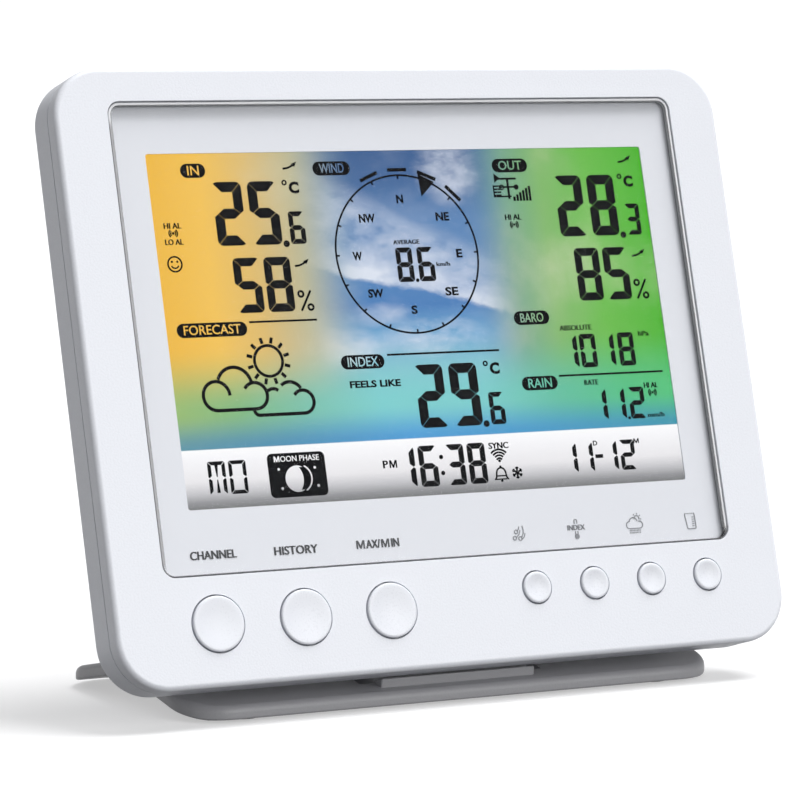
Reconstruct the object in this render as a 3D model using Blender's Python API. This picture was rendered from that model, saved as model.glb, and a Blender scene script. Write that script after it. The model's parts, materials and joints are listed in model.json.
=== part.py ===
"""Desk weather-station console on a plug-in plastic stand.

World frame: metres, +Z up, the display faces -Y, the table is Z = 0.
The console is modelled upright in its own frame (X right, Y into the case,
Z up the face, origin at the middle of the face's lower edge) and leaned back
by the empty it is parented to.
"""
import math

import bmesh
import bpy
from mathutils import Vector

MM = 0.001
GAP = 0.3                      # assembly clearance between neighbouring pieces

# ---- placement ---------------------------------------------------------------
LEAN_DEG = 15.3                # console leans back from vertical
FACE_LIFT = 9.0                # lower edge of the face above the table
FACE_SETBACK = -36.66          # world Y of the face's lower edge

# ---- console case --------------------------------------------------------------
CASE_W = 168.0
CASE_H = 135.0
CASE_R = 11.5                  # corner radius seen from the front
FACE_FILLET = 1.2
WALL = 2.0
REACH = 1.0                    # how far cutters and added solids run past a surface
FACE_T = 2.2
PART_Y = 4.0                   # parting plane between the two shells
RIM_Y = 12.0                   # back of the shallow rim
RIM_FILLET = 1.5
HUMP_Y = 24.0                  # back of the raised middle
HUMP_W = 146.0
HUMP_Z0 = 6.5
HUMP_Z1 = 126.0
HUMP_R = 12.0
HUMP_DRAFT = 1.6
HUMP_FILLET = 2.0
CASE_INSET_SLACK = 0.5         # keeps the socket's walls off the hump's inner floor
CORNER_STEPS = 8

# ---- display window -------------------------------------------------------------
WIN_W = 143.0
WIN_H = 103.8
WIN_Z = 75.6                   # centre height on the face
WIN_R = 3.0
WIN_CHAMFER = 0.2
LENS_Y = 0.3                   # lens front, below the face
LENS_T = 1.2
MASK_T = 0.4
LEDGE_Y = 2.5
LEDGE_T = 1.5
LEDGE_W = 134.0
LEDGE_H = 95.0
FLANGE_W = 147.0
FLANGE_H = 108.0
FLANGE_R = 5.0

# ---- display stack ---------------------------------------------------------------
LCD_W = 126.0                  # lit area
LCD_H = 78.0
LCD_Z = 77.2
GLASS_W = 131.0
GLASS_H = 86.0
GLASS_T = 2.0
DIFFUSER_T = 0.4
GUIDE_T = 2.0
TRAY_WALL = 1.5
TRAY_FLOOR = 1.0
TRAY_Y = LEDGE_Y + LEDGE_T + GAP
GLASS_Y = LENS_Y + LENS_T + 0.3 + MASK_T + 0.4
DIFFUSER_Y = GLASS_Y + GLASS_T + GAP
GUIDE_Y = DIFFUSER_Y + DIFFUSER_T + GAP
TRAY_FLOOR_Y = GUIDE_Y + GUIDE_T + GAP
LED_STRIP_T = 1.0

# ---- front buttons -----------------------------------------------------------------
BIG_BUTTON_R = 6.0
BIG_BUTTON_Z = 13.4
BIG_BUTTONS = (("button_channel", -60.1), ("button_history", -39.1), ("button_max_min", -18.1))
SMALL_BUTTON_R = 3.5
SMALL_BUTTON_Z = 16.0
SMALL_BUTTONS = (("button_wind", 19.0), ("button_index", 34.0), ("button_rain", 49.0), ("button_baro", 64.0))
BUTTON_PROUD = 0.5
BUTTON_DISH = 0.45
BUTTON_EDGE = 0.3
BUTTON_FLANGE = 1.0            # how far the hidden flange is wider than the cap
BUTTON_FLANGE_T = 0.7
BUTTON_TRAVEL = 0.7

# ---- key board behind the buttons ------------------------------------------------------
PAD_Y = 4.9
PAD_T = 0.8
PAD_DOME = 0.7
BIG_DOME_R = 4.0
SMALL_DOME_R = 2.6
DOME_TAPER = 0.7
KEY_BOARD_W = 145.0
KEY_BOARD_Z0 = 5.2
KEY_BOARD_Z1 = 20.6
BOARD_T = 1.6
KEY_BOARD_Y = PAD_Y + PAD_T + GAP

# ---- main board and its parts --------------------------------------------------------------
MAIN_Y = 12.4
MAIN_W = 118.0
MAIN_Z0 = 26.0
MAIN_Z1 = 104.0
STANDOFF_R = 2.4
RADIO_X = (18.0, 42.0)
RADIO_Z = (50.0, 66.0)
RADIO_T = 2.6
BUZZER_R = 6.0
BUZZER_T = 5.0
BUZZER_Z = 84.0
RIBBON_X = (-50.0, -36.0)
RIBBON_T = 0.4
STANDOFFS = ((-52.0, 32.0), (52.0, 32.0), (-52.0, 98.0), (52.0, 98.0))

# ---- rear controls ---------------------------------------------------------------------------
KEY_W = 9.0
KEY_H = 5.0
KEY_PROUD = 0.8
KEY_Z = 113.0
KEY_FLANGE = 0.8
KEY_FLANGE_T = 1.2
REAR_KEYS = (("rear_key_1", -50.0), ("rear_key_2", -35.0), ("rear_key_3", -20.0), ("rear_key_4", -5.0))
SWITCH_X = 22.0
SWITCH_SLOT_W = 11.0
SWITCH_SLOT_H = 4.0
SWITCH_KNOB_W = 5.0
SWITCH_PROUD = 0.2
RESET_X = 44.0
RESET_R = 1.1

SNOOZE_W = 62.0
SNOOZE_D = 4.4
SNOOZE_Y = 7.0
SNOOZE_PROUD = 0.5
SNOOZE_FLANGE = (1.2, 0.5)     # extra half width and half depth under the case top

# ---- coin cell compartment ------------------------------------------------------------------------
CELL_R = 10.0
CELL_T = 3.2
CELL_X = -34.0
CELL_Z = 58.0
CELL_LIFT = 1.3                # cell above the bay floor, on its contact
CELL_EDGE = 0.5
CONTACT_HALF = (8.0, 2.5)
CONTACT_T = 0.4
CONTACT_CROWN = 0.25
BAY_R = 10.7
BAY_WALL = 1.5
BAY_Y = 17.0                   # floor of the bay
DOOR_W = 31.0
DOOR_H = 29.0
DOOR_T = 1.4
GRIP_W = 14.0
GRIP_H = 2.0
GRIP_DROP = 6.0

# ---- rear openings ---------------------------------------------------------------------------------
JACK_X = 50.0
JACK_Z = 40.0
JACK_HOLE_R = 4.0
JACK_HALF = 4.6
JACK_BORE_R = 3.2
JACK_PIN_R = 1.0
VENT_X = 26.0
VENT_Z = 72.0
VENT_W = 16.0
VENT_H = 1.6
VENT_PITCH = 4.0
VENTS = 4
KEYHOLE_X = 42.0
KEYHOLE_Z = 84.0
KEYHOLE_R = 4.2
KEYHOLE_SLOT_R = 2.1
KEYHOLE_SLOT_H = 9.0
KEYHOLE_SLOT_RISE = 5.5
SENSOR_T = 3.0

# ---- case screws --------------------------------------------------------------------------------------
SCREWS = (("case_screw_1", -77.3, 10.0), ("case_screw_2", 77.3, 10.0),
          ("case_screw_3", -77.3, 125.0), ("case_screw_4", 77.3, 125.0))
SCREW_SHANK_R = 1.1
SCREW_HEAD_R = 2.5
SCREW_SEAT_Y = 8.0
SCREW_HEAD_T = 1.7
SCREW_TIP_Y = 3.0
SCREW_CROSS = (2.6, 0.7, 0.8)  # slot length, width and depth
SEAT_T = 1.5
SEAT_WALL = 1.6
BOSS_R = 3.1

# ---- stand ----------------------------------------------------------------------------------------------
STAND_X = 1.6                  # the stand and its tongue sit off the centre plane
STAND_W = 134.5
STAND_Y0 = 4.8                 # front edge, behind the face's lower edge
STAND_Y1 = 73.0
STAND_R = 11.0
STAND_T = 3.2
STAND_LIFT = 0.7
STAND_SLOPE_DEG = 11.0
STAND_RIDGE_R = 30.0
STAND_LIP = 2.6                # flat strip before the plate rises
STAND_EDGE = 1.5
BLOCK_GAP = 0.4                # between the block and the case
BLOCK_W = 39.0
BLOCK_FRONT = 9.0              # console-frame depths of the raised block
BLOCK_STEP = RIM_Y + BLOCK_GAP
BLOCK_BACK = 22.0
TONGUE_W = 34.4
TONGUE_Y0 = 14.8
TONGUE_Y1 = 20.2
TONGUE_TOP = 16.4
TONGUE_CHAMFER = 1.0
SOCKET_WALL = 1.8
RELIEF_W = 3.6
RELIEF_Y0 = 12.0
RELIEF_Y1 = 20.0
PLAN_SPAN = (-5.0, 30.0)       # heights that plan-view cutters reach
FOOT_R = 4.0
FOOT_T = 2.4
FEET = (("stand_foot_1", -50.4, 12.3), ("stand_foot_2", 53.6, 12.3),
        ("stand_foot_3", -50.4, 65.5), ("stand_foot_4", 53.6, 65.5))

LEAN = math.radians(LEAN_DEG)

MATERIALS = {
    "white_shell": ((0.80, 0.81, 0.84), 0.38, 0.0),
    "white_button": ((0.78, 0.79, 0.83), 0.28, 0.0),
    "display_border": ((0.70, 0.72, 0.75), 0.35, 0.0),
    "clear_lens": ((0.90, 0.92, 0.95), 0.05, 0.0),
    "lcd_glass": ((0.35, 0.55, 0.62), 0.12, 0.0),
    "diffuser_film": ((0.85, 0.85, 0.85), 0.6, 0.0),
    "light_guide_acrylic": ((0.88, 0.90, 0.92), 0.1, 0.0),
    "tray_white": ((0.75, 0.75, 0.75), 0.5, 0.0),
    "board_green": ((0.02, 0.16, 0.06), 0.45, 0.0),
    "led_board_white": ((0.8, 0.8, 0.78), 0.5, 0.0),
    "keypad_silicone": ((0.45, 0.46, 0.48), 0.7, 0.0),
    "black_plastic": ((0.02, 0.02, 0.02), 0.45, 0.0),
    "nickel": ((0.62, 0.60, 0.57), 0.3, 1.0),
    "cell_steel": ((0.70, 0.70, 0.70), 0.22, 1.0),
    "screw_steel": ((0.45, 0.45, 0.46), 0.35, 1.0),
    "ribbon_grey": ((0.5, 0.5, 0.5), 0.5, 0.0),
    "stand_grey": ((0.27, 0.27, 0.28), 0.42, 0.0),
    "foot_rubber": ((0.03, 0.03, 0.03), 0.85, 0.0),
}


# ---- scene and material helpers ----------------------------------------------------
def clear_scene():
    for obj in list(bpy.data.objects):
        bpy.data.objects.remove(obj, do_unlink=True)


def make_materials():
    for slot, (colour, roughness, metallic) in MATERIALS.items():
        mat = bpy.data.materials.new(slot)
        mat.use_nodes = True
        shader = mat.node_tree.nodes["Principled BSDF"]
        shader.inputs["Base Color"].default_value = (*colour, 1.0)
        shader.inputs["Roughness"].default_value = roughness
        shader.inputs["Metallic"].default_value = metallic


def add_mesh(name, verts, faces, slot=None, parent=None, origin=(0.0, 0.0, 0.0)):
    """Mesh object from millimetre data; `origin` becomes the object's own origin."""
    shift = Vector(origin)
    mesh = bpy.data.meshes.new(name)
    mesh.from_pydata([(Vector(v) - shift) * MM for v in verts], [], faces)
    mesh.update()
    bm = bmesh.new()
    bm.from_mesh(mesh)
    bmesh.ops.recalc_face_normals(bm, faces=bm.faces)
    bm.to_mesh(mesh)
    bm.free()
    obj = bpy.data.objects.new(name, mesh)
    bpy.context.scene.collection.objects.link(obj)
    if slot:
        mesh.materials.append(bpy.data.materials[slot])
    obj.parent = parent
    obj.location = shift * MM
    return obj


def smooth(obj, angle_deg=35.0):
    obj.data.polygons.foreach_set("use_smooth", [True] * len(obj.data.polygons))
    obj.data.set_sharp_from_angle(angle=math.radians(angle_deg))


def boolean(target, tool, operation):
    """Apply `tool` to `target`; the tool stays in the file as a hidden wire."""
    tool.hide_render = True
    tool.display_type = "WIRE"
    mod = target.modifiers.new(tool.name, "BOOLEAN")
    mod.operation = operation
    mod.solver = "EXACT"
    mod.object = tool


def cut(target, tool):
    boolean(target, tool, "DIFFERENCE")


def fuse(target, tool):
    boolean(target, tool, "UNION")


def bevel(obj, width, segments, angle_deg=40.0):
    mod = obj.modifiers.new("edge", "BEVEL")
    mod.width = width * MM
    mod.segments = segments
    mod.limit_method = "ANGLE"
    mod.angle_limit = math.radians(angle_deg)
    mod.harden_normals = False


# ---- outline and solid builders ------------------------------------------------------
def rounded_rect(width, height, radius, centre=(0.0, 0.0), steps=CORNER_STEPS):
    """Counter-clockwise loop of a rounded rectangle."""
    cx, cz = centre
    corners = ((1, 1, 0.0), (-1, 1, 90.0), (-1, -1, 180.0), (1, -1, 270.0))
    loop = []
    for sx, sz, start in corners:
        for k in range(steps + 1):
            turn = math.radians(start + 90.0 * k / steps)
            loop.append((cx + sx * (width / 2 - radius) + radius * math.cos(turn),
                         cz + sz * (height / 2 - radius) + radius * math.sin(turn)))
    return loop


def circle(radius, centre=(0.0, 0.0), segments=24):
    return [(centre[0] + radius * math.cos(2 * math.pi * k / segments),
             centre[1] + radius * math.sin(2 * math.pi * k / segments)) for k in range(segments)]


def stack_data(sections):
    """Solid through a row of equal-length loops: sections are (loop, depth)."""
    count = len(sections[0][0])
    verts = [(x, y, z) for loop, y in sections for x, z in loop]
    faces = [list(range(count))]
    for level in range(len(sections) - 1):
        base = level * count
        for k in range(count):
            nxt = (k + 1) % count
            faces.append([base + k, base + nxt, base + count + nxt, base + count + k])
    faces.append(list(range((len(sections) - 1) * count, len(sections) * count)))
    return verts, faces


def stack(name, sections, slot=None, parent=None, origin=(0.0, 0.0, 0.0)):
    verts, faces = stack_data(sections)
    return add_mesh(name, verts, faces, slot, parent, origin)


def prism(name, loop, y0, y1, slot=None, parent=None, origin=(0.0, 0.0, 0.0)):
    return stack(name, [(loop, y0), (loop, y1)], slot, parent, origin)


def box(name, x, y, z, slot=None, parent=None, origin=(0.0, 0.0, 0.0)):
    loop = [(x[0], z[0]), (x[1], z[0]), (x[1], z[1]), (x[0], z[1])]
    return prism(name, loop, y[0], y[1], slot, parent, origin)


def ring_prism(name, outer, inner, y0, y1, slot=None, parent=None):
    """Flat frame between two equal-length loops."""
    count = len(outer)
    verts = [(x, y, z) for loop, y in ((outer, y0), (inner, y0), (inner, y1), (outer, y1)) for x, z in loop]
    faces = []
    for band in range(4):
        for k in range(count):
            nxt = (k + 1) % count
            a = band * count
            b = ((band + 1) % 4) * count
            faces.append([a + k, a + nxt, b + nxt, b + k])
    return add_mesh(name, verts, faces, slot, parent)


def lathe(name, profile, centre, segments, slot=None, parent=None, origin=None):
    """Turn (radius, depth) points about the depth axis; both ends close on the axis."""
    cx, cz = centre
    verts = [(cx, profile[0][1], cz)]
    for radius, y in profile[1:-1]:
        verts.extend((x, y, z) for x, z in circle(radius, centre, segments))
    verts.append((cx, profile[-1][1], cz))
    rings = len(profile) - 2
    faces = []
    for k in range(segments):
        nxt = (k + 1) % segments
        faces.append([0, 1 + nxt, 1 + k])
        for ring in range(rings - 1):
            a = 1 + ring * segments
            faces.append([a + k, a + nxt, a + segments + nxt, a + segments + k])
        last = 1 + (rings - 1) * segments
        faces.append([last + k, last + nxt, len(verts) - 1])
    return add_mesh(name, verts, faces, slot, parent, origin or (cx, profile[0][1], cz))


def fillet_points(radius, steps=3):
    """(inset, depth) pairs from a flat end round to a side wall."""
    points = []
    for k in range(steps + 1):
        turn = math.pi / 2 * k / steps
        points.append((radius * (1 - math.sin(turn)), radius * (1 - math.cos(turn))))
    return points


# ---- case shells --------------------------------------------------------------------------
def case_loop(inset):
    return rounded_rect(CASE_W - 2 * inset, CASE_H - 2 * inset, CASE_R - inset, (0.0, CASE_H / 2))


def hump_loop(inset):
    height = HUMP_Z1 - HUMP_Z0
    centre = (0.0, (HUMP_Z0 + HUMP_Z1) / 2)
    return rounded_rect(HUMP_W - 2 * inset, height - 2 * inset, HUMP_R - inset, centre)


def build_front_shell(console):
    sections = [(case_loop(inset), y) for inset, y in fillet_points(FACE_FILLET)]
    sections.append((case_loop(0.0), PART_Y - GAP / 2))
    shell = stack("front_shell", sections, "white_shell", console)

    cut(shell, prism("cut_front_cavity", case_loop(WALL), FACE_T, PART_Y + REACH, parent=console))
    flange = rounded_rect(FLANGE_W, FLANGE_H, FLANGE_R, (0.0, WIN_Z))
    fuse(shell, prism("add_window_flange", flange, FACE_T - REACH, LEDGE_Y + LEDGE_T, parent=console))

    recess = []
    for grow, y in ((WIN_CHAMFER + REACH, -REACH), (0.0, WIN_CHAMFER), (0.0, LEDGE_Y)):
        recess.append((rounded_rect(WIN_W + 2 * grow, WIN_H + 2 * grow, WIN_R + grow, (0.0, WIN_Z)), y))
    cut(shell, stack("cut_window_recess", recess, parent=console))
    ledge = rounded_rect(LEDGE_W, LEDGE_H, WIN_R, (0.0, WIN_Z))
    cut(shell, prism("cut_window", ledge, LEDGE_Y - REACH, LEDGE_Y + LEDGE_T + REACH, parent=console))

    for name, x in BIG_BUTTONS:
        hole = circle(BIG_BUTTON_R + GAP, (x, BIG_BUTTON_Z), 32)
        cut(shell, prism("cut_" + name, hole, -REACH, FACE_T + REACH, parent=console))
    for name, x in SMALL_BUTTONS:
        hole = circle(SMALL_BUTTON_R + GAP, (x, SMALL_BUTTON_Z), 24)
        cut(shell, prism("cut_" + name, hole, -REACH, FACE_T + REACH, parent=console))

    for name, x, z in SCREWS:
        boss = circle(BOSS_R, (x, z), 16)
        end = SCREW_SEAT_Y - SEAT_T - GAP
        fuse(shell, prism("add_boss_" + name, boss, FACE_T - REACH, end, parent=console))
        pilot = circle(SCREW_SHANK_R + GAP, (x, z), 12)
        cut(shell, prism("cut_pilot_" + name, pilot, SCREW_TIP_Y - 2 * GAP, SCREW_SEAT_Y, parent=console))
    smooth(shell)


def rear_shell_body(console):
    sections = [(case_loop(0.0), PART_Y + GAP / 2)]
    for inset, y in reversed(fillet_points(RIM_FILLET)):
        sections.append((case_loop(inset), RIM_Y - y))
    sections.append((hump_loop(0.0), RIM_Y))
    for inset, y in reversed(fillet_points(HUMP_FILLET)):
        sections.append((hump_loop(inset + HUMP_DRAFT), HUMP_Y - y))
    shell = stack("rear_shell", sections, "white_shell", console)

    rim = case_loop(WALL)
    hump = hump_loop(WALL)
    back = hump_loop(WALL + HUMP_DRAFT)
    cavity = [(rim, PART_Y - REACH), (rim, RIM_Y - WALL), (hump, RIM_Y - WALL), (back, HUMP_Y - WALL)]
    cut(shell, stack("cut_rear_cavity", cavity, parent=console))
    return shell


def add_stand_socket(shell, console):
    """Walled pocket, open downwards, that the stand's tongue plugs into."""
    slot = TONGUE_W / 2 + GAP
    half = slot + SOCKET_WALL
    outer = (STAND_X - half, STAND_X + half)
    roof = TONGUE_TOP + 2 * GAP
    floor = HUMP_Z0 + WALL + CASE_INSET_SLACK
    fuse(shell, box("add_socket", outer, (TONGUE_Y0 - GAP - SOCKET_WALL, HUMP_Y - REACH),
                    (floor, roof + SOCKET_WALL), parent=console))
    depth = (TONGUE_Y0 - GAP, TONGUE_Y1 + GAP)
    cut(shell, box("cut_socket", (STAND_X - slot, STAND_X + slot), depth, (0.0, roof), parent=console))


def add_screw_seats(shell, console):
    for name, x, z in SCREWS:
        tube = circle(SCREW_HEAD_R + SEAT_WALL, (x, z), 16)
        fuse(shell, prism("add_seat_" + name, tube, SCREW_SEAT_Y - SEAT_T, RIM_Y - REACH, parent=console))
        bore = circle(SCREW_HEAD_R + GAP, (x, z), 16)
        cut(shell, prism("cut_bore_" + name, bore, SCREW_SEAT_Y, RIM_Y + REACH, parent=console))
        hole = circle(SCREW_SHANK_R + GAP, (x, z), 12)
        cut(shell, prism("cut_hole_" + name, hole, SCREW_TIP_Y, SCREW_SEAT_Y + REACH, parent=console))


def add_board_standoffs(shell, console):
    for k, centre in enumerate(STANDOFFS, 1):
        post = circle(STANDOFF_R, centre, 12)
        fuse(shell, prism(f"add_standoff_{k}", post, MAIN_Y + BOARD_T + GAP, HUMP_Y - REACH, parent=console))


def add_battery_bay(shell, console):
    """Round walled pocket for the coin cell, with a stepped mouth for its cover."""
    centre = (CELL_X, CELL_Z)
    tub = circle(BAY_R + BAY_WALL, centre, 32)
    fuse(shell, prism("add_bay", tub, BAY_Y - BAY_WALL, HUMP_Y - REACH, parent=console))
    bay = circle(BAY_R, centre, 32)
    cut(shell, prism("cut_bay", bay, BAY_Y, HUMP_Y + REACH, parent=console))
    mouth = rounded_rect(DOOR_W + 2 * GAP, DOOR_H + 2 * GAP, 2.0 + GAP, centre, 3)
    cut(shell, prism("cut_mouth", mouth, HUMP_Y - DOOR_T - GAP, HUMP_Y + REACH, parent=console))


def cut_rear_openings(shell, console):
    for name, x in REAR_KEYS:
        hole = rounded_rect(KEY_W + 2 * GAP, KEY_H + 2 * GAP, KEY_H / 2, (x, KEY_Z), 4)
        cut(shell, prism("cut_" + name, hole, HUMP_Y - WALL - REACH, HUMP_Y + REACH, parent=console))
    slot = rounded_rect(SWITCH_SLOT_W, SWITCH_SLOT_H, 1.0, (SWITCH_X, KEY_Z), 3)
    cut(shell, prism("cut_switch_slot", slot, HUMP_Y - WALL - REACH, HUMP_Y + REACH, parent=console))
    pin = circle(RESET_R, (RESET_X, KEY_Z), 12)
    cut(shell, prism("cut_reset", pin, HUMP_Y - WALL - REACH, HUMP_Y + REACH, parent=console))
    jack = circle(JACK_HOLE_R, (JACK_X, JACK_Z), 20)
    cut(shell, prism("cut_jack", jack, HUMP_Y - WALL - REACH, HUMP_Y + REACH, parent=console))
    for k in range(VENTS):
        vent = rounded_rect(VENT_W, VENT_H, VENT_H / 2 - 0.05, (VENT_X, VENT_Z + k * VENT_PITCH), 2)
        cut(shell, prism(f"cut_vent_{k + 1}", vent, HUMP_Y - WALL - REACH, HUMP_Y + REACH, parent=console))
    snooze = rounded_rect(SNOOZE_W + 2 * GAP, SNOOZE_D + 2 * GAP, SNOOZE_D / 2, (0.0, 0.0), 5)
    verts = [(x, SNOOZE_Y + y, z) for z in (CASE_H - WALL - REACH, CASE_H + REACH) for x, y in snooze]
    _, faces = stack_data([(snooze, 0.0), (snooze, 1.0)])
    cut(shell, add_mesh("cut_snooze", verts, faces, parent=console))


def cut_keyhole(shell, console, name, x):
    """Wall-hanging keyhole: round entry below, narrow slot above."""
    entry = circle(KEYHOLE_R, (x, KEYHOLE_Z), 20)
    cut(shell, prism("cut_entry_" + name, entry, HUMP_Y - WALL - REACH, HUMP_Y + REACH, parent=console))
    centre = (x, KEYHOLE_Z + KEYHOLE_SLOT_RISE)
    slot = rounded_rect(2 * KEYHOLE_SLOT_R, KEYHOLE_SLOT_H, KEYHOLE_SLOT_R - 0.05, centre, 4)
    cut(shell, prism("cut_slot_" + name, slot, HUMP_Y - WALL - REACH, HUMP_Y + REACH, parent=console))


def build_rear_shell(console):
    shell = rear_shell_body(console)
    add_stand_socket(shell, console)
    add_screw_seats(shell, console)
    add_board_standoffs(shell, console)
    add_battery_bay(shell, console)
    cut_rear_openings(shell, console)
    cut_keyhole(shell, console, "left", -KEYHOLE_X)
    cut_keyhole(shell, console, "right", KEYHOLE_X)
    smooth(shell)


# ---- display -------------------------------------------------------------------------------------
def build_display(console):
    outline = rounded_rect(WIN_W - 2 * GAP, WIN_H - 2 * GAP, WIN_R - GAP, (0.0, WIN_Z), 4)
    prism("display_lens", outline, LENS_Y, LENS_Y + LENS_T, "clear_lens", console)
    opening = rounded_rect(LCD_W, LCD_H, 0.6, (0.0, LCD_Z), 4)
    mask_y = LENS_Y + LENS_T + GAP
    ring_prism("display_mask", outline, opening, mask_y, mask_y + MASK_T, "display_border", console)

    half_w = GLASS_W / 2
    z_low = LCD_Z - GLASS_H / 2
    z_high = LCD_Z + GLASS_H / 2
    box("lcd_panel", (-half_w, half_w), (GLASS_Y, GLASS_Y + GLASS_T), (z_low, z_high), "lcd_glass", console)
    box("diffuser_sheet", (-half_w, half_w), (DIFFUSER_Y, DIFFUSER_Y + DIFFUSER_T), (z_low, z_high),
        "diffuser_film", console)
    guide_left = -half_w + LED_STRIP_T + GAP
    box("light_guide", (guide_left, half_w), (GUIDE_Y, GUIDE_Y + GUIDE_T), (z_low, z_high),
        "light_guide_acrylic", console)
    strip_x = (-half_w, -half_w + LED_STRIP_T)
    strip_z = (z_low + 4.0, z_high - 4.0)
    box("led_strip", strip_x, (GUIDE_Y, GUIDE_Y + GUIDE_T), strip_z, "led_board_white", console)
    build_tray(console)


def build_tray(console):
    """Open-fronted tray that holds the diffuser, light guide and LED strip."""
    margin = 2 * (GAP + TRAY_WALL)
    outer = rounded_rect(GLASS_W + margin, GLASS_H + margin, 1.5, (0.0, LCD_Z), 3)
    tray = prism("backlight_tray", outer, TRAY_Y, TRAY_FLOOR_Y + TRAY_FLOOR, "tray_white", console)
    inner = rounded_rect(GLASS_W + 2 * GAP, GLASS_H + 2 * GAP, 0.3, (0.0, LCD_Z), 3)
    cut(tray, prism("cut_tray", inner, TRAY_Y - REACH, TRAY_FLOOR_Y, parent=console))


# ---- buttons ----------------------------------------------------------------------------------------
def build_button(console, name, x, z, radius, segments):
    """Dished round cap with a hidden flange; origin on its sliding axis."""
    top = -BUTTON_PROUD
    flange_y = FACE_T + GAP
    profile = [(0.0, top + BUTTON_DISH), (radius * 0.45, top + BUTTON_DISH * 0.8),
               (radius * 0.78, top + BUTTON_DISH * 0.35), (radius - BUTTON_EDGE * 1.6, top),
               (radius - BUTTON_EDGE * 0.4, top + BUTTON_EDGE * 0.4), (radius, top + BUTTON_EDGE),
               (radius, flange_y), (radius + BUTTON_FLANGE, flange_y),
               (radius + BUTTON_FLANGE, flange_y + BUTTON_FLANGE_T), (0.0, flange_y + BUTTON_FLANGE_T)]
    button = lathe(name, profile, (x, z), segments, "white_button", console, (x, 0.0, z))
    smooth(button, 50.0)


def build_front_buttons(console):
    for name, x in BIG_BUTTONS:
        build_button(console, name, x, BIG_BUTTON_Z, BIG_BUTTON_R, 32)
    for name, x in SMALL_BUTTONS:
        build_button(console, name, x, SMALL_BUTTON_Z, SMALL_BUTTON_R, 24)


def build_keypad(console):
    half = KEY_BOARD_W / 2
    pad = box("rubber_keypad", (-half, half), (PAD_Y, PAD_Y + PAD_T), (KEY_BOARD_Z0, KEY_BOARD_Z1),
              "keypad_silicone", console)
    keys = [(x, BIG_BUTTON_Z, BIG_DOME_R) for _, x in BIG_BUTTONS]
    keys += [(x, SMALL_BUTTON_Z, SMALL_DOME_R) for _, x in SMALL_BUTTONS]
    for k, (x, z, radius) in enumerate(keys, 1):
        top = (circle(radius * DOME_TAPER, (x, z), 12), PAD_Y - PAD_DOME)
        base = (circle(radius, (x, z), 12), PAD_Y + PAD_T / 2)
        fuse(pad, stack(f"add_dome_{k}", [top, base], parent=console))
    box("key_board", (-half, half), (KEY_BOARD_Y, KEY_BOARD_Y + BOARD_T), (KEY_BOARD_Z0, KEY_BOARD_Z1),
        "board_green", console)


def build_snooze_bar(console):
    """Touch bar in the top edge; it slides down along the console's height."""
    cap = rounded_rect(SNOOZE_W, SNOOZE_D, SNOOZE_D / 2 - 0.05, (0.0, 0.0), 5)
    foot_w = SNOOZE_W + 2 * SNOOZE_FLANGE[0]
    foot_d = SNOOZE_D + 2 * SNOOZE_FLANGE[1]
    foot = rounded_rect(foot_w, foot_d, foot_d / 2 - 0.05, (0.0, 0.0), 5)
    under = CASE_H - WALL - GAP
    levels = [(foot, under - KEY_FLANGE_T), (foot, under), (cap, under), (cap, CASE_H + SNOOZE_PROUD)]
    verts = [(x, SNOOZE_Y + y, z) for loop, z in levels for x, y in loop]
    _, faces = stack_data(levels)
    bar = add_mesh("snooze_bar", verts, faces, "white_button", console, (0.0, SNOOZE_Y, CASE_H))
    smooth(bar)


def build_rear_controls(console):
    inner = HUMP_Y - WALL - GAP
    for name, x in REAR_KEYS:
        cap = rounded_rect(KEY_W, KEY_H, KEY_H / 2 - 0.05, (x, KEY_Z), 4)
        foot = rounded_rect(KEY_W + 2 * KEY_FLANGE, KEY_H + 2 * KEY_FLANGE, KEY_H / 2, (x, KEY_Z), 4)
        levels = [(foot, inner - KEY_FLANGE_T), (foot, inner), (cap, inner), (cap, HUMP_Y + KEY_PROUD)]
        key = stack(name, levels, "white_button", console, (x, HUMP_Y, KEY_Z))
        smooth(key)
    half = SWITCH_KNOB_W / 2
    stem = SWITCH_SLOT_H / 2 - GAP
    depth = (inner - KEY_FLANGE_T, HUMP_Y + SWITCH_PROUD)
    knob = box("backlight_switch", (SWITCH_X - half, SWITCH_X + half), depth, (KEY_Z - stem, KEY_Z + stem),
               "black_plastic", console, (SWITCH_X, HUMP_Y, KEY_Z))
    bevel(knob, 0.25, 1)


def build_battery_door(console):
    loop = rounded_rect(DOOR_W, DOOR_H, 2.0, (CELL_X, CELL_Z), 3)
    origin = (CELL_X, HUMP_Y, CELL_Z)
    door = prism("battery_door", loop, HUMP_Y - DOOR_T, HUMP_Y, "white_shell", console, origin)
    centre = (CELL_X, CELL_Z + DOOR_H / 2 - GRIP_DROP)
    grip = rounded_rect(GRIP_W, GRIP_H, GRIP_H / 2 - 0.1, centre, 3)
    cut(door, prism("cut_door_grip", grip, HUMP_Y - DOOR_T / 2, HUMP_Y + REACH, parent=console))
    smooth(door)


# ---- electronics --------------------------------------------------------------------------------------
def build_main_board(console):
    half = MAIN_W / 2
    box("main_board", (-half, half), (MAIN_Y, MAIN_Y + BOARD_T), (MAIN_Z0, MAIN_Z1), "board_green", console)
    behind = MAIN_Y + BOARD_T + GAP
    box("radio_module", RADIO_X, (behind, behind + RADIO_T), RADIO_Z, "nickel", console)
    buzzer = [(0.0, behind), (BUZZER_R, behind), (BUZZER_R, behind + BUZZER_T), (0.0, behind + BUZZER_T)]
    smooth(lathe("buzzer", buzzer, (0.0, BUZZER_Z), 24, "black_plastic", console))
    build_dc_jack(console, behind)
    build_climate_sensor(console)


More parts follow.
